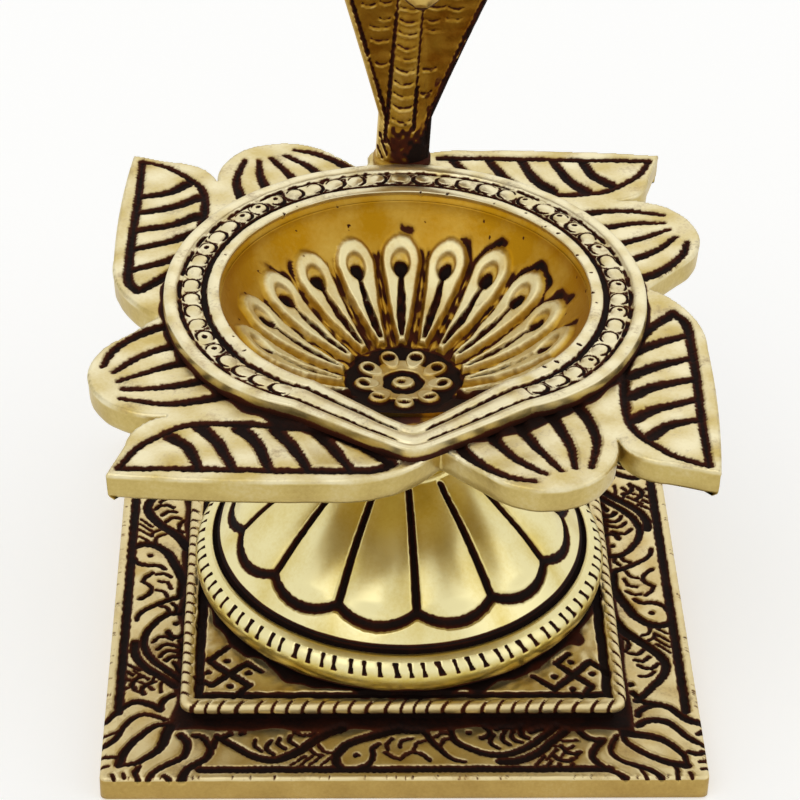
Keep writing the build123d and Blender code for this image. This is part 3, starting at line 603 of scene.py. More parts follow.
def makeDome(shape):
    profile = throughThree(shape["start"], shape["shoulder"], shape["end"], shape["rows"])
    profile = np.vstack([profile, [(shape["end"][0], shape["crown"]), (6.0, shape["crown"])]])
    azimuth = np.linspace(0, 2 * pi, shape["columns"], endpoint=False)[None, :]
    radius, height = profile[:, :1], profile[:, 1:]
    x, y = around(azimuth, radius)
    step = 2 * pi / shape["petals"]
    strokes = []
    for i in range(shape["petals"]):
        here = radians(shape["turn"]) + step * i
        join = np.array(around(here, shape["joinRadius"]))
        strokes.append(([around(here, shape["topRadius"]), join], 0.9, shape["lineWidth"]))
        end = around(here + step / 2, shape["endRadius"])
        scallop = throughThree(join, end, around(here + step, shape["joinRadius"]), 9)
        strokes.append((scallop, 0.95))
    depth = carve(x, y, strokes, ragged=0.03, seed=51)
    share = ((azimuth - radians(shape["turn"])) / step) % 1
    pillow = 4 * share * (1 - share) * shape["pillow"] * radius / shape["joinRadius"]
    inside = smooth((shape["joinRadius"] + 0.6 - radius) / 1.6) * smooth((radius - shape["topRadius"]) / 1.5)
    lift = (pillow - 0.45 * shape["pillow"]) * inside - shape["lineDepth"] * depth
    lift += 0.06 * waver(x, y, 7.0, 53) - 0.05
    along = np.gradient(profile, axis=0)
    along /= np.hypot(along[:, 0], along[:, 1])[:, None]
    outX, outZ = along[:, 1:2], -along[:, :1]
    lift[-2:] = 0
    lift[0] = 0
    x, y = around(azimuth, radius + outX * lift)
    z = shape["foot"] + height + outZ * lift
    haze = 0.07 + 0.05 * waver(x, y, 5.0, 55)
    patinaAndPaintedShade = np.maximum.reduce([depth, haze, smooth((shape["start"][1] + 0.45 - height) / 0.3) + 0 * depth])
    polishAndPaintedLight = 0.62 + 0.3 * (pillow / shape["pillow"] - 0.5) + 0.12 * waver(x, y, 8.0, 57)
    petals = (np.stack([x, y, z], -1), patinaAndPaintedShade, polishAndPaintedLight, True)

    # rounded band at the foot, cut with ticks, and the dark ring groove above it
    columns = band["ticks"] * band["perTick"]
    azimuth = np.linspace(0, 2 * pi, columns, endpoint=False)[None, :]
    turn = np.linspace(band["footAngle"], band["topAngle"], band["rows"])[:, None]
    radius = band["centre"][0] + band["radius"] * np.cos(np.radians(turn))
    height = band["centre"][1] + band["radius"] * np.sin(np.radians(turn))
    share = (turn - band["tickFrom"]) / (band["tickTo"] - band["tickFrom"])
    uneven = 0.12 * waver(azimuth * 30, azimuth * 0, 6.0, 61)
    phase = (azimuth / (2 * pi) * band["ticks"] + 0.35 * share * np.sin(azimuth + 0.6) + uneven) % 1 - 0.5
    bone = 0.1 + 0.08 * abs(2 * share - 1) ** 2 + 0.02 * waver(azimuth * 60, share * 9, 5.0, 63)
    tick = smooth(0.5 + (bone - abs(phase)) / 0.12) * smooth((share + 0.05) / 0.12) * smooth((1.05 - share) / 0.12)
    radius = radius - band["tickDepth"] * tick
    x, y = around(azimuth, radius)
    z = shape["foot"] + np.broadcast_to(height, x.shape)
    # painted shade: black under the band and a darker tone towards its foot; its upper half is lighter as painted
    # light
    under = smooth((2.1 - height + 0.35 * waver(x, y, 6.0, 65)) / 1.3)
    lowerBandShade = (0.19 + 0.08 * waver(x, y, 2.2, 66)) * smooth((3.5 - height + 0.5 * waver(x, y, 4.0, 68)) / 1.8)
    patinaAndPaintedShade = np.maximum.reduce([0.95 * tick, np.broadcast_to(under, x.shape), lowerBandShade])
    polishAndPaintedLight = 0.3 + 0.6 * smooth((height - 3.3) / 1.5) + 0.12 * waver(x, y, 5.0, 67)
    round1 = (np.stack([x, y, z], -1), patinaAndPaintedShade, polishAndPaintedLight * np.ones_like(x), True)
    ring = np.array([band["grooveFoot"], shape["start"]])
    first = np.array([(radius[-1, 0], height[-1, 0])])
    lip = np.array([(25.35, 5.55), (24.9, 5.72), (24.75, 5.2), (24.3, 5.15), (24.2, 5.7)])
    line = np.vstack([first, lip, ring[1:]])
    x, y = around(azimuth, line[:, :1])
    z = shape["foot"] + np.broadcast_to(line[:, 1:], x.shape)
    dark = np.broadcast_to(np.array([0, 0, 0.2, 1, 1, 1, 0.7])[:, None], x.shape)
    groove = (np.stack([x, y, z], -1), dark, 0.7 * np.ones_like(x), True)
    makePiece("lotusDome", [petals], domeBrass, "dome_brass", ["pedestal_dome"])
    makePiece("milledBand", [round1, groove], domeBrass, "dome_brass")


makeDome(dome)

print("stage: petal tray")
tray = {
    "foot": 45.6, "top": 49.4, "turn": -1.2, "cell": 0.215, "innerRadius": 26.6,
    "edgeRound": 0.9, "topRound": 0.35, "carvingDepth": 0.6,
    "leafFront": 37.3, "leafTip": (-34.7, -36.6), "leafSwell": (-22.0, -37.4), "leafRunEnd": (-9.0, -37.3),
    "leafFold": (-0.6, -35.3), "notch": (4.1, -30.8), "petalCentre": (16.0, -29.6), "petalRadius": 8.9,
    "petalFlank": (9.325, -35.474), "petalRoot": (24.9, -28.2), "leafShoulder": (-31.0, -26.4),
    "leafNeck": (-32.9, -30.6), "padCentre": (0.4, 33.5), "padRadius": 5.0,
}
# Carving of one quarter, in mm from the middle: border grooves, veins, then the fan on the round petal
leafStrokes = [
    ([(-33.3, -35.3), (-31.6, -31.6), (-29.4, -29.2), (-27.0, -27.3), (-24.4, -26.5), (-19.8, -26.3),
      (-12.3, -27.0), (-9.3, -27.8), (-4.8, -30.7), (-1.7, -33.6)], 0.6, 1.25),
    ([(-33.3, -35.3), (-24.6, -35.2), (-15.1, -35.3), (-6.3, -35.2), (-3.4, -34.8), (-1.7, -33.6)], 0.7, 1.2),
    ([(-27.6, -29.0), (-25.4, -31.2), (-24.1, -34.9)], 1.6, 0.95),
    ([(-24.2, -27.2), (-22.1, -30.0), (-20.1, -34.9)], 1.65, 0.95),
    ([(-19.6, -27.2), (-17.5, -30.1), (-15.9, -34.9)], 1.65, 0.95),
    ([(-15.3, -27.4), (-13.3, -30.6), (-11.4, -34.9)], 1.6, 0.95),
    ([(-10.4, -27.9), (-8.3, -31.2), (-6.5, -34.9)], 1.55, 0.9),
]
fanStrokes = [
    ([(5.6, -28.4), (6.9, -31.4), (9.2, -34.0), (12.2, -36.0), (14.9, -36.7)], 1.65, 0.5),
    ([(9.9, -26.5), (10.6, -29.1), (12.9, -32.6), (16.1, -35.3)], 1.65, 0.5),
    ([(13.3, -25.0), (14.0, -27.4), (15.8, -31.0), (18.0, -34.6)], 1.6, 0.5),
    ([(17.0, -23.4), (18.2, -26.2), (19.3, -30.0), (19.6, -34.0)], 1.6, 0.5),
    ([(20.4, -21.4), (21.8, -25.0), (22.4, -29.0), (21.5, -34.0)], 1.5, 0.5),
]


def quarterTurns(points, quarter):
    points = np.asarray(points, float)
    for _ in range(quarter):
        points = np.stack([-points[:, 1], points[:, 0]], -1)
    return points


def trayOutline(shape, step=0.05):
    def run(a, b, c=None):
        if c is None:
            return np.linspace(a, b, max(2, int(np.hypot(*np.subtract(b, a)) / step)))
        count = int((np.hypot(*np.subtract(b, a)) + np.hypot(*np.subtract(c, b))) / step)
        return throughThree(a, b, c, count)

    px, py = shape["petalCentre"]
    ahead = quarterTurns([shape["leafShoulder"], shape["leafNeck"], shape["leafTip"]], 1)
    side = np.vstack([
        run(shape["leafTip"], shape["leafSwell"], shape["leafRunEnd"]),
        run(shape["leafRunEnd"], shape["leafFold"], shape["notch"]),
        run(shape["notch"], shape["petalFlank"]),
        run(shape["petalFlank"], (px, py - shape["petalRadius"]), shape["petalRoot"]),
        run(shape["petalRoot"], ahead[0], ahead[1]),
        run(ahead[1], ahead[2])[:-1],
    ])
    line = np.vstack([quarterTurns(side, k) for k in range(4)])
    c, s = cos(radians(shape["turn"])), sin(radians(shape["turn"]))
    line = line @ np.array([[c, s], [-s, c]])
    # the pad behind the bowl carries the hood and fills the notch there
    turn = np.linspace(0, pi, 240)
    pad = np.stack([np.cos(turn), np.sin(turn)], -1) * shape["padRadius"] + shape["padCentre"]
    reach = np.hypot(*(line - shape["padCentre"]).T)
    covered = (reach < shape["padRadius"]) & (line[:, 1] > 0)
    first, last = np.flatnonzero(covered)[[0, -1]]
    entry, leave = line[first - 1], line[(last + 1) % len(line)]
    keep = (pad[:, 0] < entry[0]) & (pad[:, 0] > leave[0])
    return np.vstack([line[:first], pad[keep], line[last + 1:]])


def insideOf(line, x, y):
    inside = np.zeros(x.shape, bool)
    coarse = line[::5]
    for (ax, ay), (bx, by) in zip(coarse, np.roll(coarse, -1, 0)):
        if ay != by:
            crosses = ((ay > y) != (by > y)) & (x < (bx - ax) * (y - ay) / (by - ay) + ax)
            inside ^= crosses
    return inside


def settledOn(line, points):
    # A closed run of points moved onto a dense closed line and spread evenly along it,
    # with the outward side of the line at each
    spot = np.concatenate([
        np.argmin((chunk[:, None, 0] - line[None, :, 0]) ** 2 + (chunk[:, None, 1] - line[None, :, 1]) ** 2, 1)
        for chunk in np.array_split(points, max(1, len(points) // 200))
    ])
    count = len(line)
    spot = np.unwrap(spot.astype(float), period=count)
    full = count * np.sign(spot[-1] - spot[0])
    for _ in range(12):
        before = np.concatenate([[spot[-1] - full], spot[:-1]])
        after = np.concatenate([spot[1:], [spot[0] + full]])
        spot = (before + 2 * spot + after) / 4
    ahead = np.roll(line, -6, 0) - np.roll(line, 6, 0)
    out = np.stack([ahead[:, 1], -ahead[:, 0]], -1)
    out /= np.hypot(out[:, 0], out[:, 1])[:, None] + 1e-12
    pick = np.round(spot).astype(int) % count
    return line[pick], out[pick]


def loopsOf(edges):
    following, loops = dict(edges), []
    while following:
        start, here = next(iter(following.items()))
        loop = [start]
        del following[start]
        while here != start and here in following:
            loop.append(here)
            here = following.pop(here)
        loops.append(loop)
    return sorted(loops, key=len, reverse=True)


def zipLoops(points, outer, inner):
    # Flat underside between two closed borders, as triangles that advance round both together
    sides = []
    for loop in (outer, inner):
        turn = np.unwrap(np.arctan2(points[loop, 1], points[loop, 0]))
        if turn[-1] < turn[0]:
            loop, turn = loop[::-1], turn[::-1]
        first = int(np.argmin(turn % (2 * pi)))
        loop = list(loop[first:]) + list(loop[:first])
        turn = np.unwrap(np.arctan2(points[loop, 1], points[loop, 0]) % (2 * pi))
        sides.append((loop + loop[:1], np.append(turn, turn[0] + 2 * pi)))
    (outer, outerTurn), (inner, innerTurn) = sides
    i = j = 0
    faces = []
    while i < len(outer) - 1 or j < len(inner) - 1:
        if j == len(inner) - 1 or (i < len(outer) - 1 and outerTurn[i + 1] < innerTurn[j + 1]):
            faces.append((outer[i], inner[j], outer[i + 1]))
            i += 1
        else:
            faces.append((outer[i], inner[j], inner[j + 1]))
            j += 1
    return np.array(faces)


def makeTray(shape):
    line, cell = trayOutline(shape), shape["cell"]
    half = np.abs(line).max() + cell
    count = int(2 * half / cell) + 1
    axis = (np.arange(count) - count / 2) * cell
    y, x = np.meshgrid(axis, axis, indexing="ij")
    middleX, middleY = x[:-1, :-1] + cell / 2, y[:-1, :-1] + cell / 2
    kept = insideOf(line, middleX, middleY) & (np.hypot(middleX, middleY) > shape["innerRadius"])
    padded = np.pad(kept, 1)
    beside = padded[:-2, 1:-1] * 1 + padded[2:, 1:-1] + padded[1:-1, :-2] + padded[1:-1, 2:]
    kept &= beside > 1  # lone cells on the border would make slivers
    for _ in range(2):  # cells that touch at one corner only are joined
        a, b, c, d = kept[:-1, :-1], kept[1:, 1:], kept[:-1, 1:], kept[1:, :-1]
        pinch = (a & b & ~c & ~d) | (c & d & ~a & ~b)
        for part in (a, b, c, d):
            part |= pinch
    index = np.arange(count * count).reshape(count, count)
    faces = np.stack([index[:-1, :-1], index[:-1, 1:], index[1:, 1:], index[1:, :-1]], -1)[kept]
    used, faces = np.unique(faces, return_inverse=True)
    faces = faces.reshape(-1, 4)
    plan = np.stack([x.ravel()[used], y.ravel()[used]], -1)
    edges = np.concatenate([faces[:, [i, (i + 1) % 4]] for i in range(4)])
    total = len(plan)
    codes, reverse = edges[:, 0] * total + edges[:, 1], edges[:, 1] * total + edges[:, 0]
    border = edges[~np.isin(codes, reverse)]
    rim = np.unique(border)
    radius = np.hypot(plan[rim, 0], plan[rim, 1])
    hole = radius < shape["innerRadius"] + 1.2
    plan[rim[hole]] *= (shape["innerRadius"] / radius[hole])[:, None]
    edge = loopsOf([tuple(pair) for pair in border])[0]
    place, out = settledOn(line, plan[edge])
    plan[edge] = place
    normal = np.zeros_like(plan)
    normal[edge] = out
    x, y = plan[:, 0], plan[:, 1]
    strokes = [(curve(points), *(width + 0.32 for width in widths)) for points, *widths in leafStrokes + fanStrokes]
    strokes = [s for k in range(4) for s in turnedStrokes(strokes, 90 * k + shape["turn"])]
    depth = carve(x, y, strokes, soft=0.3, ragged=0.12, seed=71)
    padAway = np.hypot(x - shape["padCentre"][0], y - shape["padCentre"][1] - 1)
    depth *= smooth((padAway - shape["padRadius"] + 0.6) / 0.8)
    radius = np.hypot(x, y)
    z = shape["top"] - shape["carvingDepth"] * depth + 0.07 * waver(x, y, 5.0, 73)
    isRim = np.zeros(total, bool)
    isRim[rim[~hole]] = True
    z[isRim] = shape["top"] - shape["topRound"]
    shadow = smooth((31.0 - radius + 0.22 * waver(x, y, 6.0, 75)) / 0.7) * smooth((14 - y) / 8)
    patinaAndPaintedShade = np.maximum.reduce([depth, 0.9 * shadow, 0.12 + 0.06 * waver(x, y, 5.0, 76)])
    polishAndPaintedLight = 0.55 + 0.22 * waver(x, y, 6.0, 77)
    points, patinaAndPaintedShadeParts, polishAndPaintedLightParts = [np.column_stack([plan, z])], [patinaAndPaintedShade], [polishAndPaintedLight]
    allFaces = [faces]
    levels = [
        (0.0, shape["top"] - 0.75), (0.05, shape["foot"] + 1.6),
        (0.12, shape["foot"] + 0.7), (0.35, shape["foot"] + 0.25), (shape["edgeRound"] * 0.85, shape["foot"]),
    ]
    rimIndex = -np.ones(total, int)
    rimIndex[rim] = np.arange(len(rim))
    above, start = border, total
    for inset, level in levels:
        ring = plan[rim] - normal[rim] * inset
        wobble = 0.04 * waver(ring[:, 0] + level, ring[:, 1], 4.0, 79) - 0.08
        points.append(np.column_stack([ring + normal[rim] * wobble[:, None], np.full(len(rim), level)]))
        patinaAndPaintedShadeParts.append(0.03 + 0.03 * waver(ring[:, 0], ring[:, 1] + level, 5.0, 80))
        polishAndPaintedLightParts.append(0.27 + 0.08 * waver(ring[:, 0], ring[:, 1] + level, 9.0, 81))
        below = rimIndex[border] + start
        allFaces.append(np.stack([above[:, 1], above[:, 0], below[:, 0], below[:, 1]], -1))
        above, start = below, start + len(rim)
    flat = np.vstack(points)
    outer, inner = loopsOf([tuple(edge) for edge in above])[:2]
    under = zipLoops(flat, outer, inner)
    return flat, np.concatenate(patinaAndPaintedShadeParts), np.concatenate(polishAndPaintedLightParts), np.vstack(allFaces), under


makeMesh("petalTray", *makeTray(tray), trayBrass, "tray_brass", ["petal_tray"])

print("stage: oil bowl")
bowl = {
    "top": 51.4, "foot": 49.25, "rim": (30.3, 28.7, 34.4), "cavity": (23.3, 22.9, 29.8),
    "waistAngle": 30.0, "shoulderAngle": 60.0, "tipRound": 2.2, "edgeRound": 0.6,
    "bands": (1.8, 2.3, 4.7, 5.45, 7.0),  # ridge, groove, beads, groove and lip end here, mm from the edge
    "grooveDepth": 0.75, "beads": 47, "beadSpan": 147.0, "beadColumns": 26, "rimRows": 64,
    "depth": 14.9, "floorRadius": 27.0, "wall": 2.2,
    "spoutFloor": ((0.0, 1.5), (17.0, 1.5), (20.5, 3.8), (22.4, 3.8), (25.2, 1.5), (29.8, 0.3)),
    "flutes": 13, "flutePitch": 19.5, "fluteEnd": 18.25, "fluteStart": 7.6, "fluteWidths": (1.3, 5.5),
    "lipDrop": 0.75, "fluteRise": 0.75, "petals": 9, "petalRadius": 4.75, "columns": 676,
}


def dropRadius(azimuth, radius, waist, tip):
    # Radius of the drop outline at azimuths from the spout; its point is slightly rounded
    turn = np.abs((azimuth + pi) % (2 * pi) - pi)
    turn = np.sqrt(turn ** 2 + radians(bowl["tipRound"]) ** 2)
    bend, shoulder = radians(bowl["waistAngle"]), radians(bowl["shoulderAngle"])
    ahead = np.stack([np.sin(turn), -np.cos(turn)], -1)
    a, b = np.array(around(shoulder, radius)), np.array(around(bend, waist))
    away = a - b
    centre = a - a / radius * (away @ away) / (2 * (a @ away) / radius)
    size = np.hypot(*(a - centre))
    along = ahead @ centre
    flank = along + np.sqrt(np.maximum(along ** 2 - centre @ centre + size ** 2, 0))
    run = np.array([0.0, -tip]) - b
    cross = ahead[..., 0] * run[1] - ahead[..., 1] * run[0]
    straight = (b[0] * run[1] - b[1] * run[0]) / np.where(np.abs(cross) < 1e-6, 1e-6, cross)
    return np.where(turn > shoulder, radius, np.where(turn > bend, flank, straight))


def makeRim(shape):
    columns = shape["beads"] * shape["beadColumns"]
    azimuth = np.linspace(0, 2 * pi, columns, endpoint=False)[None, :]
    outer = dropRadius(azimuth, *shape["rim"])
    inner = dropRadius(azimuth, *shape["cavity"])
    ridge, grooveEnd, beadEnd, lipStart, width = shape["bands"]
    across = np.linspace(0.0, width, shape["rimRows"])[:, None]
    radius = outer + (inner - outer) * across / width
    x, y = around(azimuth, radius)
    rough = 0.07 * waver(x, y, 1.3, 81) + 0.05 * waver(x, y, 5.0, 82)
    near = np.abs((azimuth + pi) % (2 * pi) - pi)
    fade = smooth((np.degrees(near) - 2.5) / 2.0)

    def groove(low, high):
        middle, half = (low + high) / 2, (high - low) / 2
        return smooth(0.5 + (half + rough - np.abs(across - middle)) / 0.22) * fade

    def bulge(low, high):
        share = np.clip((across - low) / (high - low), 0, 1)
        return np.sqrt(np.clip(4 * share * (1 - share), 0, 1))

    # beads: an oval knob each, hugged on one side by a dark C-shaped cut
    back = (azimuth + pi) % (2 * pi) - pi
    back = np.where(back > 0, back - pi, back + pi)
    place = (np.degrees(back) / shape["beadSpan"] + 1) / 2 * shape["beads"]
    number = np.clip(np.floor(place), 0, shape["beads"] - 1).astype(int)
    beaded = smooth((shape["beadSpan"] + 1 - np.abs(np.degrees(back))) / 1.5)
    pick = np.random.default_rng(83)
    lean = pick.normal(0, 0.5, shape["beads"])[number]
    squash = pick.uniform(0.85, 1.12, shape["beads"])[number]
    dented = (pick.uniform(0, 1, shape["beads"]) < 0.3)[number]
    pitch = 2 * radians(shape["beadSpan"]) * 26.6 / shape["beads"]
    a = (place - number - 0.5) * pitch / (1.2 * squash)
    b = (across - (grooveEnd + beadEnd) / 2) / 1.08
    reach = (np.abs(a) ** 2.2 + np.abs(b) ** 2.2) ** (1 / 2.2)
    side = np.cos(np.arctan2(b, a) - lean - pi * (back > 0))
    inBand = smooth((across - grooveEnd) / 0.15) * smooth((beadEnd - across) / 0.15)
    cut = smooth(0.5 + (0.11 + 0.1 * side - np.abs(reach - 0.97)) / 0.14) * smooth((side + 0.75) / 0.4)
    corner = 0.7 * smooth((reach - 1.2) / 0.1) * smooth((waver(x, y, 3.4, 88) + 0.15) / 0.5)
    dent = np.hypot(a - 0.15 * np.cos(lean), b + 0.12)
    dent = smooth((0.36 - dent) / 0.16) * dented
    dark = np.maximum.reduce([cut, 0.85 * corner, dent]) * beaded * inBand
    knob = np.clip(1 - reach, 0, 1) ** 0.6 * beaded + (1 - beaded) * 0.8 * bulge(grooveEnd, beadEnd)
    nick = 0.0
    for i in range(26):
        where, size = pick.uniform(0.6, 2 * pi - 0.6), pick.uniform(0.1, 0.28)
        inward = pick.uniform(6.1, 7.5)
        spot = np.hypot((azimuth - where) * 24, (across - inward) / pick.uniform(0.7, 2.2))
        nick = np.maximum(nick, smooth((size - spot) / 0.14))
    broken = np.maximum(smooth(0.85 + 0.9 * waver(x, y, 3.2, 89)), smooth((np.abs(back) - 2.2) / 0.3))
    grooves = np.maximum(groove(ridge, grooveEnd) * broken, groove(beadEnd, lipStart))
    swell = 0.42 * bulge(-0.15, ridge) * (across < ridge) + 0.4 * bulge(lipStart - 0.1, width + 0.5) * (
        across > lipStart) + (0.12 + 0.32 * knob) * ((across >= grooveEnd) & (across <= beadEnd))
    z = shape["top"] - 0.46 + swell * np.ones_like(x)
    z -= (shape["grooveDepth"] - 0.4) * grooves + 0.3 * dark + 0.2 * nick
    z = np.minimum(z + 0.04 * waver(x, y, 6.0, 84), shape["top"])
    patinaAndPaintedShade = np.maximum.reduce([grooves, dark, 0.9 * nick])
    patinaAndPaintedShade = np.maximum(patinaAndPaintedShade, 0.13 + 0.06 * waver(x, y, 6.0, 85))
    polishAndPaintedLight = 0.72 + 0.2 * waver(x, y, 5.0, 86)

    # outer side: darkened towards the corner with the tray as painted shade, lighter towards the top edge
    levels = np.array([shape["foot"], 49.6, 50.1, 50.5, shape["top"] - 0.5])[:, None]
    inset = np.array([0, 0, 0, 0.03, 0.08])[:, None]
    sideX, sideY = around(azimuth, outer - inset)
    corner = 0.75 * smooth((50.4 - levels + 0.12 * waver(sideX, sideY, 5.0, 87)) / 0.7)
    rimSide = np.stack([sideX, sideY, levels + 0 * sideX], -1)
    # inner edge: the lip turns down into the bowl
    drops = np.array([0.12, 0.32, 0.6])[:, None]
    lipX, lipY = around(azimuth, inner - np.array([0.02, -0.03, -0.12])[:, None])
    lip = np.stack([lipX, lipY, z[-1] - drops], -1)
    grid = np.concatenate([rimSide, np.stack([x, y, z], -1)[1:], lip])
    patinaAndPaintedShade = np.concatenate([0.95 * corner, patinaAndPaintedShade[1:], 0 * drops + 0 * lipX])
    polishAndPaintedLight = np.concatenate([0.3 + 0.3 * smooth((levels - 50.2) / 0.8) + 0 * sideX, polishAndPaintedLight[1:],
                             0.6 + 0 * lipX])
    makePiece("bowlRim", [(grid, patinaAndPaintedShade, polishAndPaintedLight, True)], rimBrass, "bowl_brass", ["oil_bowl"])


def cavityHeight(shape, radius, forward):
    # Height of the cavity's surface: round floor, steep wall, then the trough of the spout
    size, lift = shape["floorRadius"], shape["floorRadius"] - shape["depth"]
    mouth = shape["cavity"][0]
    wall = (2 * size * shape["depth"] - shape["depth"] ** 2 - mouth ** 2) / (2 * (size - mouth))
    centre = mouth - wall
    bend = size * centre / np.hypot(centre, lift)
    floor = lift - np.sqrt(np.maximum(size ** 2 - radius ** 2, 0))
    steep = -np.sqrt(np.maximum(wall ** 2 - np.maximum(radius - centre, 0) ** 2, 0))
    height = np.where(radius < bend, floor, np.where(radius < mouth, steep, 0.0))
    reach, depth = np.array(shape["spoutFloor"]).T
    return shape["top"] + np.minimum(height, -np.interp(forward, reach, depth)), wall, centre


def makeCavity(shape):
    azimuth = np.linspace(0, 2 * pi, shape["columns"], endpoint=False)[None, :]
    mouth = dropRadius(azimuth, *shape["cavity"])
    plain = shape["cavity"][0]
    floorRows = np.concatenate([np.linspace(0.06, 7.8, 56), np.linspace(7.95, 21.3, 62)])[:, None]
    _, wall, centre = cavityHeight(shape, floorRows, 0)
    start, finish = np.arcsin((21.4 - centre) / wall), np.arccos(shape["lipDrop"] / wall)
    climb = np.linspace(0, 1, 22)[:, None]
    upright = centre + wall * np.sin(start + (finish - start) * climb)
    spout = smooth((mouth - plain) / 0.6)
    edge = (1 - spout) * upright + spout * (21.4 + (mouth - 21.4) * climb)
    radius = np.concatenate([floorRows + 0 * azimuth, edge, mouth + 0.3])
    x, y = around(azimuth, radius)
    z, _, _ = cavityHeight(shape, radius, -y)
    z[-2] = np.minimum(z[-2], shape["top"] - shape["lipDrop"])
    z[-1] = shape["top"] - shape["lipDrop"]

    # flutes: raised loops about a pit and a slot, with black channels between them
    back = np.degrees((azimuth + 2 * pi) % (2 * pi)) - 180
    half = (shape["flutes"] - 1) / 2
    number = np.clip(np.round(back / shape["flutePitch"]), -half, half)
    off = np.radians(back - number * shape["flutePitch"])
    pick = np.random.default_rng(91)
    index = (number + half).astype(int)
    grow = pick.normal(0, 0.25, shape["flutes"])[index] + 0.4 * np.sin(np.radians(number * shape["flutePitch"])) ** 2
    lateral, along = radius * np.sin(off), radius * np.cos(off)
    lateral = lateral + 0.08 * waver(x, y, 4.0, 92)
    end, begin = shape["fluteEnd"] + grow, shape["fluteStart"]
    narrow, wide = shape["fluteWidths"]
    share = np.clip((along - begin) / (end - begin), 0, 1)
    width = (narrow + (wide - narrow) * share) / 2
    edge = np.where(along > end, np.hypot(lateral, along - end) - wide / 2, np.abs(lateral) - width)
    edge = np.maximum(edge, begin - along) + 0.05 * waver(x, y, 1.1, 93)
    facing = np.abs(back) < half * shape["flutePitch"] + 9
    loop = smooth(-edge / 0.55) * facing
    pit = np.hypot(lateral, (along - end + 0.8) / 1.1)
    hollow = smooth((1.45 - np.hypot(lateral, (along - end + 0.2) / 1.1)) / 0.5)
    hole = smooth((0.92 + 0.14 * waver(x, y, 1.6, 94) - pit) / 0.3)
    slotWidth = 0.26 + 0.34 * np.sin(pi * np.clip((along - begin) / (end - 1 - begin), 0, 1))
    slot = smooth((slotWidth - np.abs(lateral) + 0.05 * waver(x, y, 1.5, 95)) / 0.22)
    slot *= smooth((along - begin - 0.9) / 0.5) * smooth((end - 0.8 - along) / 0.4)
    slot, hole, hollow = slot * facing, hole * facing, hollow * facing
    fading = smooth((half * shape["flutePitch"] + 6 - np.abs(back)) / 45)
    channel = smooth(0.5 + (edge - 0.02) / 0.2) * smooth((0.85 + 0.4 * waver(x, y, 3.0, 96) - edge) / 0.6)
    channel *= smooth((radius - 6.9) / 0.5) * smooth((22.3 + 0.5 * waver(x, y, 5.0, 97) - radius) / 0.7) * facing
    ends = smooth((radius - 18.6) / 1.2)
    patch = smooth(0.55 + 1.4 * waver(x, y, 6.5, 98) - back / 75) * smooth((100 - np.abs(back)) / 10)
    channel = channel * (1 - ends * (1 - patch))
    raised = shape["fluteRise"] * loop * (1 - 0.75 * hollow) * (1 - slot) * (1 - hole)
    sunk = 0.35 * channel + 0.45 * hole + 0.25 * slot

    # rosette: petals with an eye each, a ring groove and a boss with an off-centre pit
    step = 360 / shape["petals"]
    turn = (back + 180 + step / 2) % step - step / 2
    tilt = np.radians(turn)
    across, outward = radius * np.sin(tilt), radius * np.cos(tilt) - shape["petalRadius"]
    petal = np.hypot(across / (1.42 + 0.12 * outward), outward / 1.95) - 1
    eye = smooth((1 - np.hypot(across / 0.95, (outward - 0.4) / 0.75)) / 0.3)
    leaf = smooth((0.0 - petal) / 0.28)
    ringCut = smooth((2.75 + 0.12 * waver(x, y, 2.0, 99) - radius) / 0.25)
    boss = np.hypot(x * 0.8, y) - 1.35
    knob = smooth(-boss / 0.3)
    bossPit = smooth((0.62 - np.hypot(x + 0.25, y - 0.1)) / 0.25)
    inRose = smooth((6.95 - radius) / 0.25)
    rose = inRose * np.maximum(leaf * (1 - ringCut) * (1 - eye), knob * (1 - bossPit))
    web = smooth((4.6 + 0.5 * waver(x, y, 3.0, 100) - radius) / 0.5) * (1 - ringCut)
    rose = np.maximum(rose, 0.62 * web * inRose * (1 - eye))
    roseDark = smooth((7.6 + 0.35 * waver(x, y, 3.0, 101) - radius) / 0.4) * (1 - rose * 1.6).clip(0, 1)
    raised = raised + 0.62 * rose
    sunk = sunk + 0.15 * roseDark

    # tarnish pooled on the floor towards the spout, and a few casting pits on the wall
    front = smooth((np.abs(back) - 112) / 14)
    pool = front * smooth((13.8 + 2.2 * waver(x, y, 7.0, 102) - radius) / 3.5) * smooth((radius - 6.5) / 0.5)
    trough = smooth((radius - 22.3) / 0.5) * smooth((28.3 + 0.6 * waver(x, y, 3.0, 103) - radius) / 1.2)
    trough *= (0.52 + 0.45 * waver(x, y, 5.0, 106)) * spout
    pits, behind = 0.0, shape["columns"] // 2
    for i in range(30):
        where, high = pick.uniform(0, 2 * pi), pick.uniform(20.2, plain - 0.1)
        px, py = around(where, high)
        pz = np.interp(high, radius[:, behind], z[:, behind])
        size, away = pick.uniform(0.12, 0.26), np.sqrt((x - px) ** 2 + (y - py) ** 2 + (z - pz) ** 2)
        pits = np.maximum(pits, smooth((size - away) / 0.12) * 0.75)
    grime = channel * fading * np.clip(0.5 + 0.35 * waver(x, y, 1.8, 107) + 0.45 * ends, 0, 1)
    haze = 0.07 + 0.06 * waver(x, y, 7.0, 104)
    film = slot * fading * np.clip(0.75 + 0.35 * waver(x, y, 1.4, 108), 0, 1)
    patinaAndPaintedShade = np.maximum.reduce([grime, hole, film, roseDark, 0.95 * pool, trough, pits, haze])
    high = np.clip(np.maximum(loop * (1 - 0.65 * hollow), rose), 0, 1)
    wallShade = smooth((radius - 20.0) / 1.5) * (1 - spout)
    polishAndPaintedLight = 0.08 + 0.62 * high + 0.16 * waver(x, y, 7.0, 105) - 0.12 * wallShade
    normal = np.gradient(np.stack([radius, z], -1), axis=0)
    normal /= np.hypot(normal[..., 0], normal[..., 1])[..., None] + 1e-9
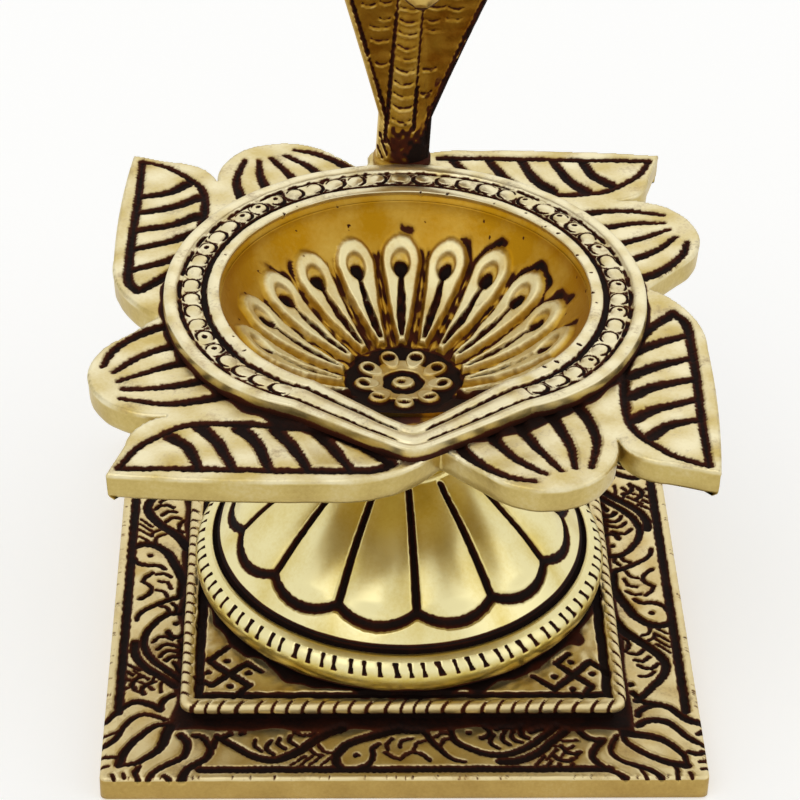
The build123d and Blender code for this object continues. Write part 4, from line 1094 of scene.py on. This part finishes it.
    lift = raised - sunk
    lift[-3:] = 0
    x, y = around(azimuth, radius - normal[..., 1] * lift)
    z = z + normal[..., 0] * lift
    inside = (np.stack([x, y, z], -1), patinaAndPaintedShade, polishAndPaintedLight, True)

    # outer body, hidden in the calyx
    size, lift = shape["floorRadius"] + shape["wall"], shape["floorRadius"] - shape["depth"]
    slope = np.linspace(0.01, np.arctan2(centre, lift), 14)
    steep = np.linspace(slope[-1], 1.45, 8)[1:]
    bodyR = np.concatenate([size * np.sin(slope), centre + (wall + shape["wall"]) * np.sin(steep)])[::-1, None]
    bodyZ = np.concatenate([lift - size * np.cos(slope), -(wall + shape["wall"]) * np.cos(steep)])[::-1, None]
    ring = np.linspace(0, 2 * pi, 180, endpoint=False)[None, :]
    x, y = around(ring, bodyR)
    body = (np.stack([x, y, shape["top"] + bodyZ + 0 * x], -1), 0.1 + 0 * x, 0.3 + 0 * x, True)
    makePiece("bowlCavity", [inside, body], bowlBrass, "bowl_brass", ["oil_bowl"])


makeRim(bowl)
makeCavity(bowl)

print("stage: naga hood")
naga = {
    "place": (0.4, 34.5, 49.4), "lean": 3.0, "height": 52.0, "halfThickness": 1.5, "neckWidth": 3.6,
    "outline": [(6.8, 3.6), (31.0, 11.8)], "swell": ((31.0, 11.8), (38.5, 13.8), (49.3, 8.28)),
    "crown": ((49.3, 8.28), (52.0, 0.0), (49.3, -8.28)), "bow": ((0.0, 0.0), (28.6, 0.99), (54.0, -4.5)),
    # sections of neck and spine: height, half width, half depth, set-back
    "spine": ((0.0, 3.6, 3.0, 0.0), (8.84, 3.5, 2.3, 1.0), (26.0, 2.4, 2.0, 2.0), (40.6, 1.8, 1.5, 0.6)),
    "bellyCentre": -0.6, "bellyHalf": 1.75, "scalePitch": 1.78, "frontColumns": 176, "backColumns": 48,
    "headReach": 13.4, "headHeight": 40.5, "snoutHeight": 30.2, "headDroop": 1.4, "headTilt": 0.75,
    "headWidth": 9.6, "headDepth": 6.4, "footRadius": 3.9, "footHeight": 1.0, "tenon": (1.5, 7.3),
    # sections of the head: share of its length, share of its width and of its depth
    "head": ((0.0, 0.92, 0.75), (0.35, 1.0, 1.0), (0.7, 0.86, 0.84), (0.92, 0.56, 0.6), (1.0, 0.2, 0.3)),
}


def leaned(shape, x, y, height):
    # Naga's own x, depth and height turned by its lean and set down on the tray
    c, s = cos(radians(shape["lean"])), sin(radians(shape["lean"]))
    px, py, pz = shape["place"]
    return np.stack([px + x * c + height * s, py + y, np.maximum(pz - x * s + height * c, pz - 0.02)], -1)


def hoodStrokes(shape, halfWidth):
    # Border grooves, belly grooves and rows of short curved scale marks, in x and height
    left, right = shape["bellyCentre"] - shape["bellyHalf"], shape["bellyCentre"] + shape["bellyHalf"]
    rise = np.linspace(3.5, 48.5, 60)
    reach = halfWidth(rise)
    strokes = [([(left - 0.1, 6.2), (left, 14.0), (left + 0.15, 22.0)], 0.62, 0.5),
               ([(left + 0.15, 22.0), (left + 0.15, 34.0)], 0.3),
               ([(right, 5.8), (right + 0.05, 11.5)], 0.62), ([(right, 11.5), (right + 0.1, 34.0)], 0.3)]
    pick = np.random.default_rng(121)
    inner = np.stack([-(reach - 1.05), rise], -1)
    outer = np.stack([reach - 0.75, rise], -1)
    for line in (inner, outer):
        start = 0
        while start < len(line) - 2:
            stop = min(start + int(pick.integers(3, 7)), len(line) - 1)
            size = pick.uniform(0.42, 0.68)
            strokes.append((line[start:stop + 1], size, size * pick.uniform(0.6, 1.1)))
            start = stop + (0 if pick.uniform() < 0.6 else 1)
    marks = []
    for row in range(26):
        height = 6.8 + shape["scalePitch"] * row + pick.normal(0, 0.1)
        span = float(halfWidth(height)) - 1.6
        centre = shape["bellyCentre"]
        marks.append((centre - 1.15, centre + 1.15, height, pick.uniform(0.16, 0.34)))
        for side in (-1, 1):
            here = right + 0.7 if side > 0 else left - 0.7
            while side * here < span - 0.8 and height > 9.5:
                there = here + side * min(pick.uniform(1.3, 2.6), span - side * here)
                if pick.uniform() < 0.82:
                    marks.append((*sorted((here, there)), height + 0.25 + pick.normal(0, 0.22), pick.uniform(0.12, 0.34)))
                here = there + side * pick.uniform(0.35, 0.9)
    for low, high, height, size in marks:  # each mark sags in the middle
        turn = np.linspace(-1, 1, 7)
        line = np.stack([(low + high) / 2 + turn * (high - low) / 2, height + 0.26 * turn ** 2], -1)
        strokes.append((line, size, size * 0.8))
    # hatching low on the left of the neck
    strokes += [([(-3.3, 4.4), (-2.2, 1.8)], 0.4), ([(-2.7, 5.0), (-1.4, 2.4)], 0.35), ([(-3.5, 2.6), (-2.8, 1.2)], 0.3)]
    return strokes


def makeNaga(shape):
    rows = np.concatenate([np.linspace(0.0, 33.0, 206), np.linspace(33.2, 49.3, 66),
                           52.0 - 2.7 * np.cos(np.linspace(0, pi / 2, 22))[1:]])
    rows[-1] = shape["height"] - 0.002
    swell = throughThree(*shape["swell"], 80)
    crown = throughThree(*shape["crown"], 161)[:80]
    edge = np.vstack([[(0.0, shape["neckWidth"])], shape["outline"], swell[1:], crown[1:], [(52.0, 0.0)]])

    def halfWidth(height):
        return np.interp(height, edge[:, 0], edge[:, 1])

    bow = throughThree(*shape["bow"], 120)
    height = rows[:, None]
    wide = np.maximum(halfWidth(height), 0.02)
    middle = np.interp(height, bow[:, 0], bow[:, 1])
    spine = np.array(shape["spine"])
    neckWide, neckDeep, neckBack = (np.interp(height, spine[:, 0], spine[:, k]) for k in (1, 2, 3))
    neckDeep = neckDeep * (height < spine[-1, 0]) * np.sqrt(np.clip((spine[-1, 0] - height) / 0.8, 0, 1))
    thin = shape["halfThickness"] * np.sqrt(np.clip((shape["height"] - height) / 0.9, 0.0, 1))

    def section(share, side):
        x = wide * share
        blade = thin * np.clip(1 - np.abs(share) ** 18, 0, 1) ** 0.34
        neck = neckDeep * np.sqrt(np.clip(1 - (x / neckWide) ** 2, 0, 1))
        flat, round1 = middle + side * blade, neckBack + side * neck
        merged = np.maximum(side * flat, side * round1 - 4 * (neckDeep < 0.01))
        blend = np.clip(0.5 - np.abs(side * (flat - round1)) / 1.2, 0, 1) ** 2 * 0.25
        return x, side * (merged + blend * (neckDeep > 0.01))

    share = np.sin(np.linspace(-pi / 2, pi / 2, shape["frontColumns"]))[None, :]
    x, y = section(share, -1)
    tall = height + 0 * x
    strokes = hoodStrokes(shape, halfWidth)
    depth = carve(x, tall, strokes, ragged=0.09, seed=123)
    lipAndHighlight = carve(x, tall + 0.45, strokes, ragged=0.09, seed=123) * (depth < 0.3)  # raised lip below a mark, lightened as a painted highlight
    away = np.abs(x - shape["bellyCentre"]) - shape["bellyHalf"]
    belly = smooth(-away / 0.3) * smooth((tall - 5.5) / 1.0)
    inset = wide - np.abs(x)
    panel = smooth((inset - 0.85) / 0.3) * (1 - belly) * smooth((tall - 5.0) / 2.0) * smooth((51 - tall) / 2)
    round2 = belly * 0.22 * (1 - (np.abs(x - shape["bellyCentre"]) / shape["bellyHalf"]) ** 2)
    step = ((tall - 6.8) / shape["scalePitch"]) % 1  # each belly plate swells a little over the next
    y = y - 0.1 * lipAndHighlight + 0.34 * panel + 0.2 * belly - round2 - 0.07 * belly * step + 0.3 * depth + 0.05 * waver(x, tall, 3.0, 124)
    cloudy = waver(x, tall, 1.3, 125, 11)
    foot = smooth((5.6 + 0.55 * x + 0.9 * cloudy - tall) / 3.4) * smooth((x + 0.6 + 0.5 * cloudy) / 1.6)
    reddish = (0.5 + 0.2 * cloudy) * smooth((6.9 + 0.8 * cloudy - tall) / 2.4) * smooth((x + 2.6) / 1.4)
    mottle = 0.36 * smooth(1.3 * waver(x, tall, 1.8, 127) - 0.1) * smooth((x - 1.6) / 1.0) * smooth((16 - tall) / 3)
    # painted shade: the right edge of the hood is darkened
    rightEdge = smooth((0.75 + 0.25 * waver(x, tall, 3.0, 128) - inset) / 0.3) * (x > 0) * smooth((tall - 2) / 3)
    patinaAndPaintedShade = np.maximum.reduce([depth, foot, reddish, mottle, 0.95 * rightEdge * smooth((44 - tall) / 6)])
    # lighter along the left edge and low on the left, darker on the right: painted light and shade from the left; the
    # belly plates are a little lighter
    polishAndPaintedLight = 0.12 + 0.4 * smooth((0.9 - inset) / 0.3) * (x < 0) + 0.14 * belly - 0.1 * (x > 1.2)
    polishAndPaintedLight = polishAndPaintedLight + 0.35 * smooth((-1.9 - x) / 0.8) * smooth((7.2 - tall) / 1.5) + 0.1 * waver(x, tall, 5.0, 129)
    # painted highlight on the lip below each mark
    polishAndPaintedLight = polishAndPaintedLight + 0.6 * lipAndHighlight
    front = leaned(shape, x, y, tall)

    shareBack = np.sin(np.linspace(pi / 2, -pi / 2, shape["backColumns"]))[None, 1:-1]
    xb, yb = section(shareBack, 1)
    back = leaned(shape, xb, yb, height + 0 * xb)
    rubbed = 0.3 + 0.25 * smooth(-np.abs(xb) / 2 + 1) + 0.1 * waver(xb, height, 6.0, 131)
    stained = 0.12 + 0.07 * waver(xb, height, 6.0, 132) + 0 * xb
    ring = (np.concatenate([front, back], 1), np.concatenate([patinaAndPaintedShade, stained], 1),
            np.concatenate([polishAndPaintedLight, rubbed], 1), True)

    # head: a blunt wedge that leans out over the bowl, with sunk eyes and a ridge between them
    sections = curve([(s, w) for s, w, _ in shape["head"]]), curve([(s, d) for s, _, d in shape["head"]])
    along = np.concatenate([np.linspace(0, 0.9, 60), np.linspace(0.91, 1, 16)])[:, None]
    halfW = np.interp(along, *sections[0].T) * shape["headWidth"] / 2
    halfD = np.interp(along, *sections[1].T) * shape["headDepth"] / 2
    turn = np.linspace(0, 2 * pi, 132, endpoint=False)[None, :]
    tilt = shape["headTilt"] * along
    norm = np.sqrt(1 + tilt ** 2)
    hx, up = halfW * np.cos(turn), halfD * np.sin(turn)
    fall = shape["headHeight"] - shape["snoutHeight"]
    onTop = smooth(np.sin(turn) / 0.35)
    lateral = np.abs(np.cos(turn))
    socket = smooth((1 - np.hypot((lateral - 0.5) / 0.27, (along - 0.72) / 0.2)) / 0.35) * onTop
    brow = smooth((1 - np.hypot((lateral - 0.62) / 0.25, (along - 0.42) / 0.13)) / 0.5) * onTop
    mouth = smooth((0.16 - np.abs(np.sin(turn) + 0.25 + 0 * along)) / 0.12) * smooth((along - 0.35) / 0.1)
    ridge = smooth((0.2 - lateral) / 0.15) * onTop * smooth((along - 0.3) / 0.2) * smooth((0.97 - along) / 0.08)
    lift = 0.25 * ridge + 0.3 * brow - 0.45 * socket - 0.3 * mouth - 0.2
    hx, up = hx + lift * np.cos(turn), up + lift * np.sin(turn)
    hy = -shape["headReach"] * along - up * tilt / norm
    hz = shape["headHeight"] - fall * along ** shape["headDroop"] + up / norm
    head = leaned(shape, hx, hy, hz)
    tip = head[-1:].mean(1, keepdims=True) + 0 * head[-1:]
    # the underside of the head is darkened as painted shade; the eye sockets and mouth are dark recesses
    darkHead = np.maximum.reduce([socket, mouth, 0.3 * smooth(waver(hx, hz, 3.0, 133)), 0.35 + 0 * hx - 0.35 * onTop])
    brightHead = 0.3 + 0.4 * ridge + 0.4 * smooth((along - 0.85) / 0.1) * onTop + 0.1 * waver(hx, hz, 4.0, 134)
    headGrid = (np.concatenate([head, tip]), np.concatenate([darkHead, darkHead[-1:]]),
                np.concatenate([brightHead, brightHead[-1:]]), True)

    # round foot on the tray, and the tenon that passes through it
    px, py, pz = shape["place"]
    ring2 = np.linspace(0, 2 * pi, 96, endpoint=False)[None, :]
    low, length = shape["footRadius"], shape["tenon"][1]
    line = np.array([(0.05, -length), (1.4, -length), (1.5, 0.2 - length), (1.5, 0.0), (low, 0.0), (low, 0.7),
                     (low - 0.3, 1.0), (2.0, 1.0)])
    fx, fy = line[:, :1] * np.cos(ring2), line[:, :1] * np.sin(ring2)
    footPoints = np.stack([px + fx, py + fy, pz + line[:, 1:] + 0 * fx], -1)
    # painted shade on the foot's right side, away from the light
    footDark = 0.6 * smooth((fx + 1.0 + waver(fx, fy, 4.0, 135)) / 1.6)
    makePiece("nagaHood", [ring, headGrid, (footPoints, footDark, 0.3 + 0 * fx, True)], nagaBrass,
              "naga_brass", ["naga_hood"])


makeNaga(naga)

print("stage: turned pieces")
for name in ("calyx", "naga_washer", "naga_nut", "tie_screw"):
    for slot in nodes[name].material_slots:
        slot.material = turnedBrass
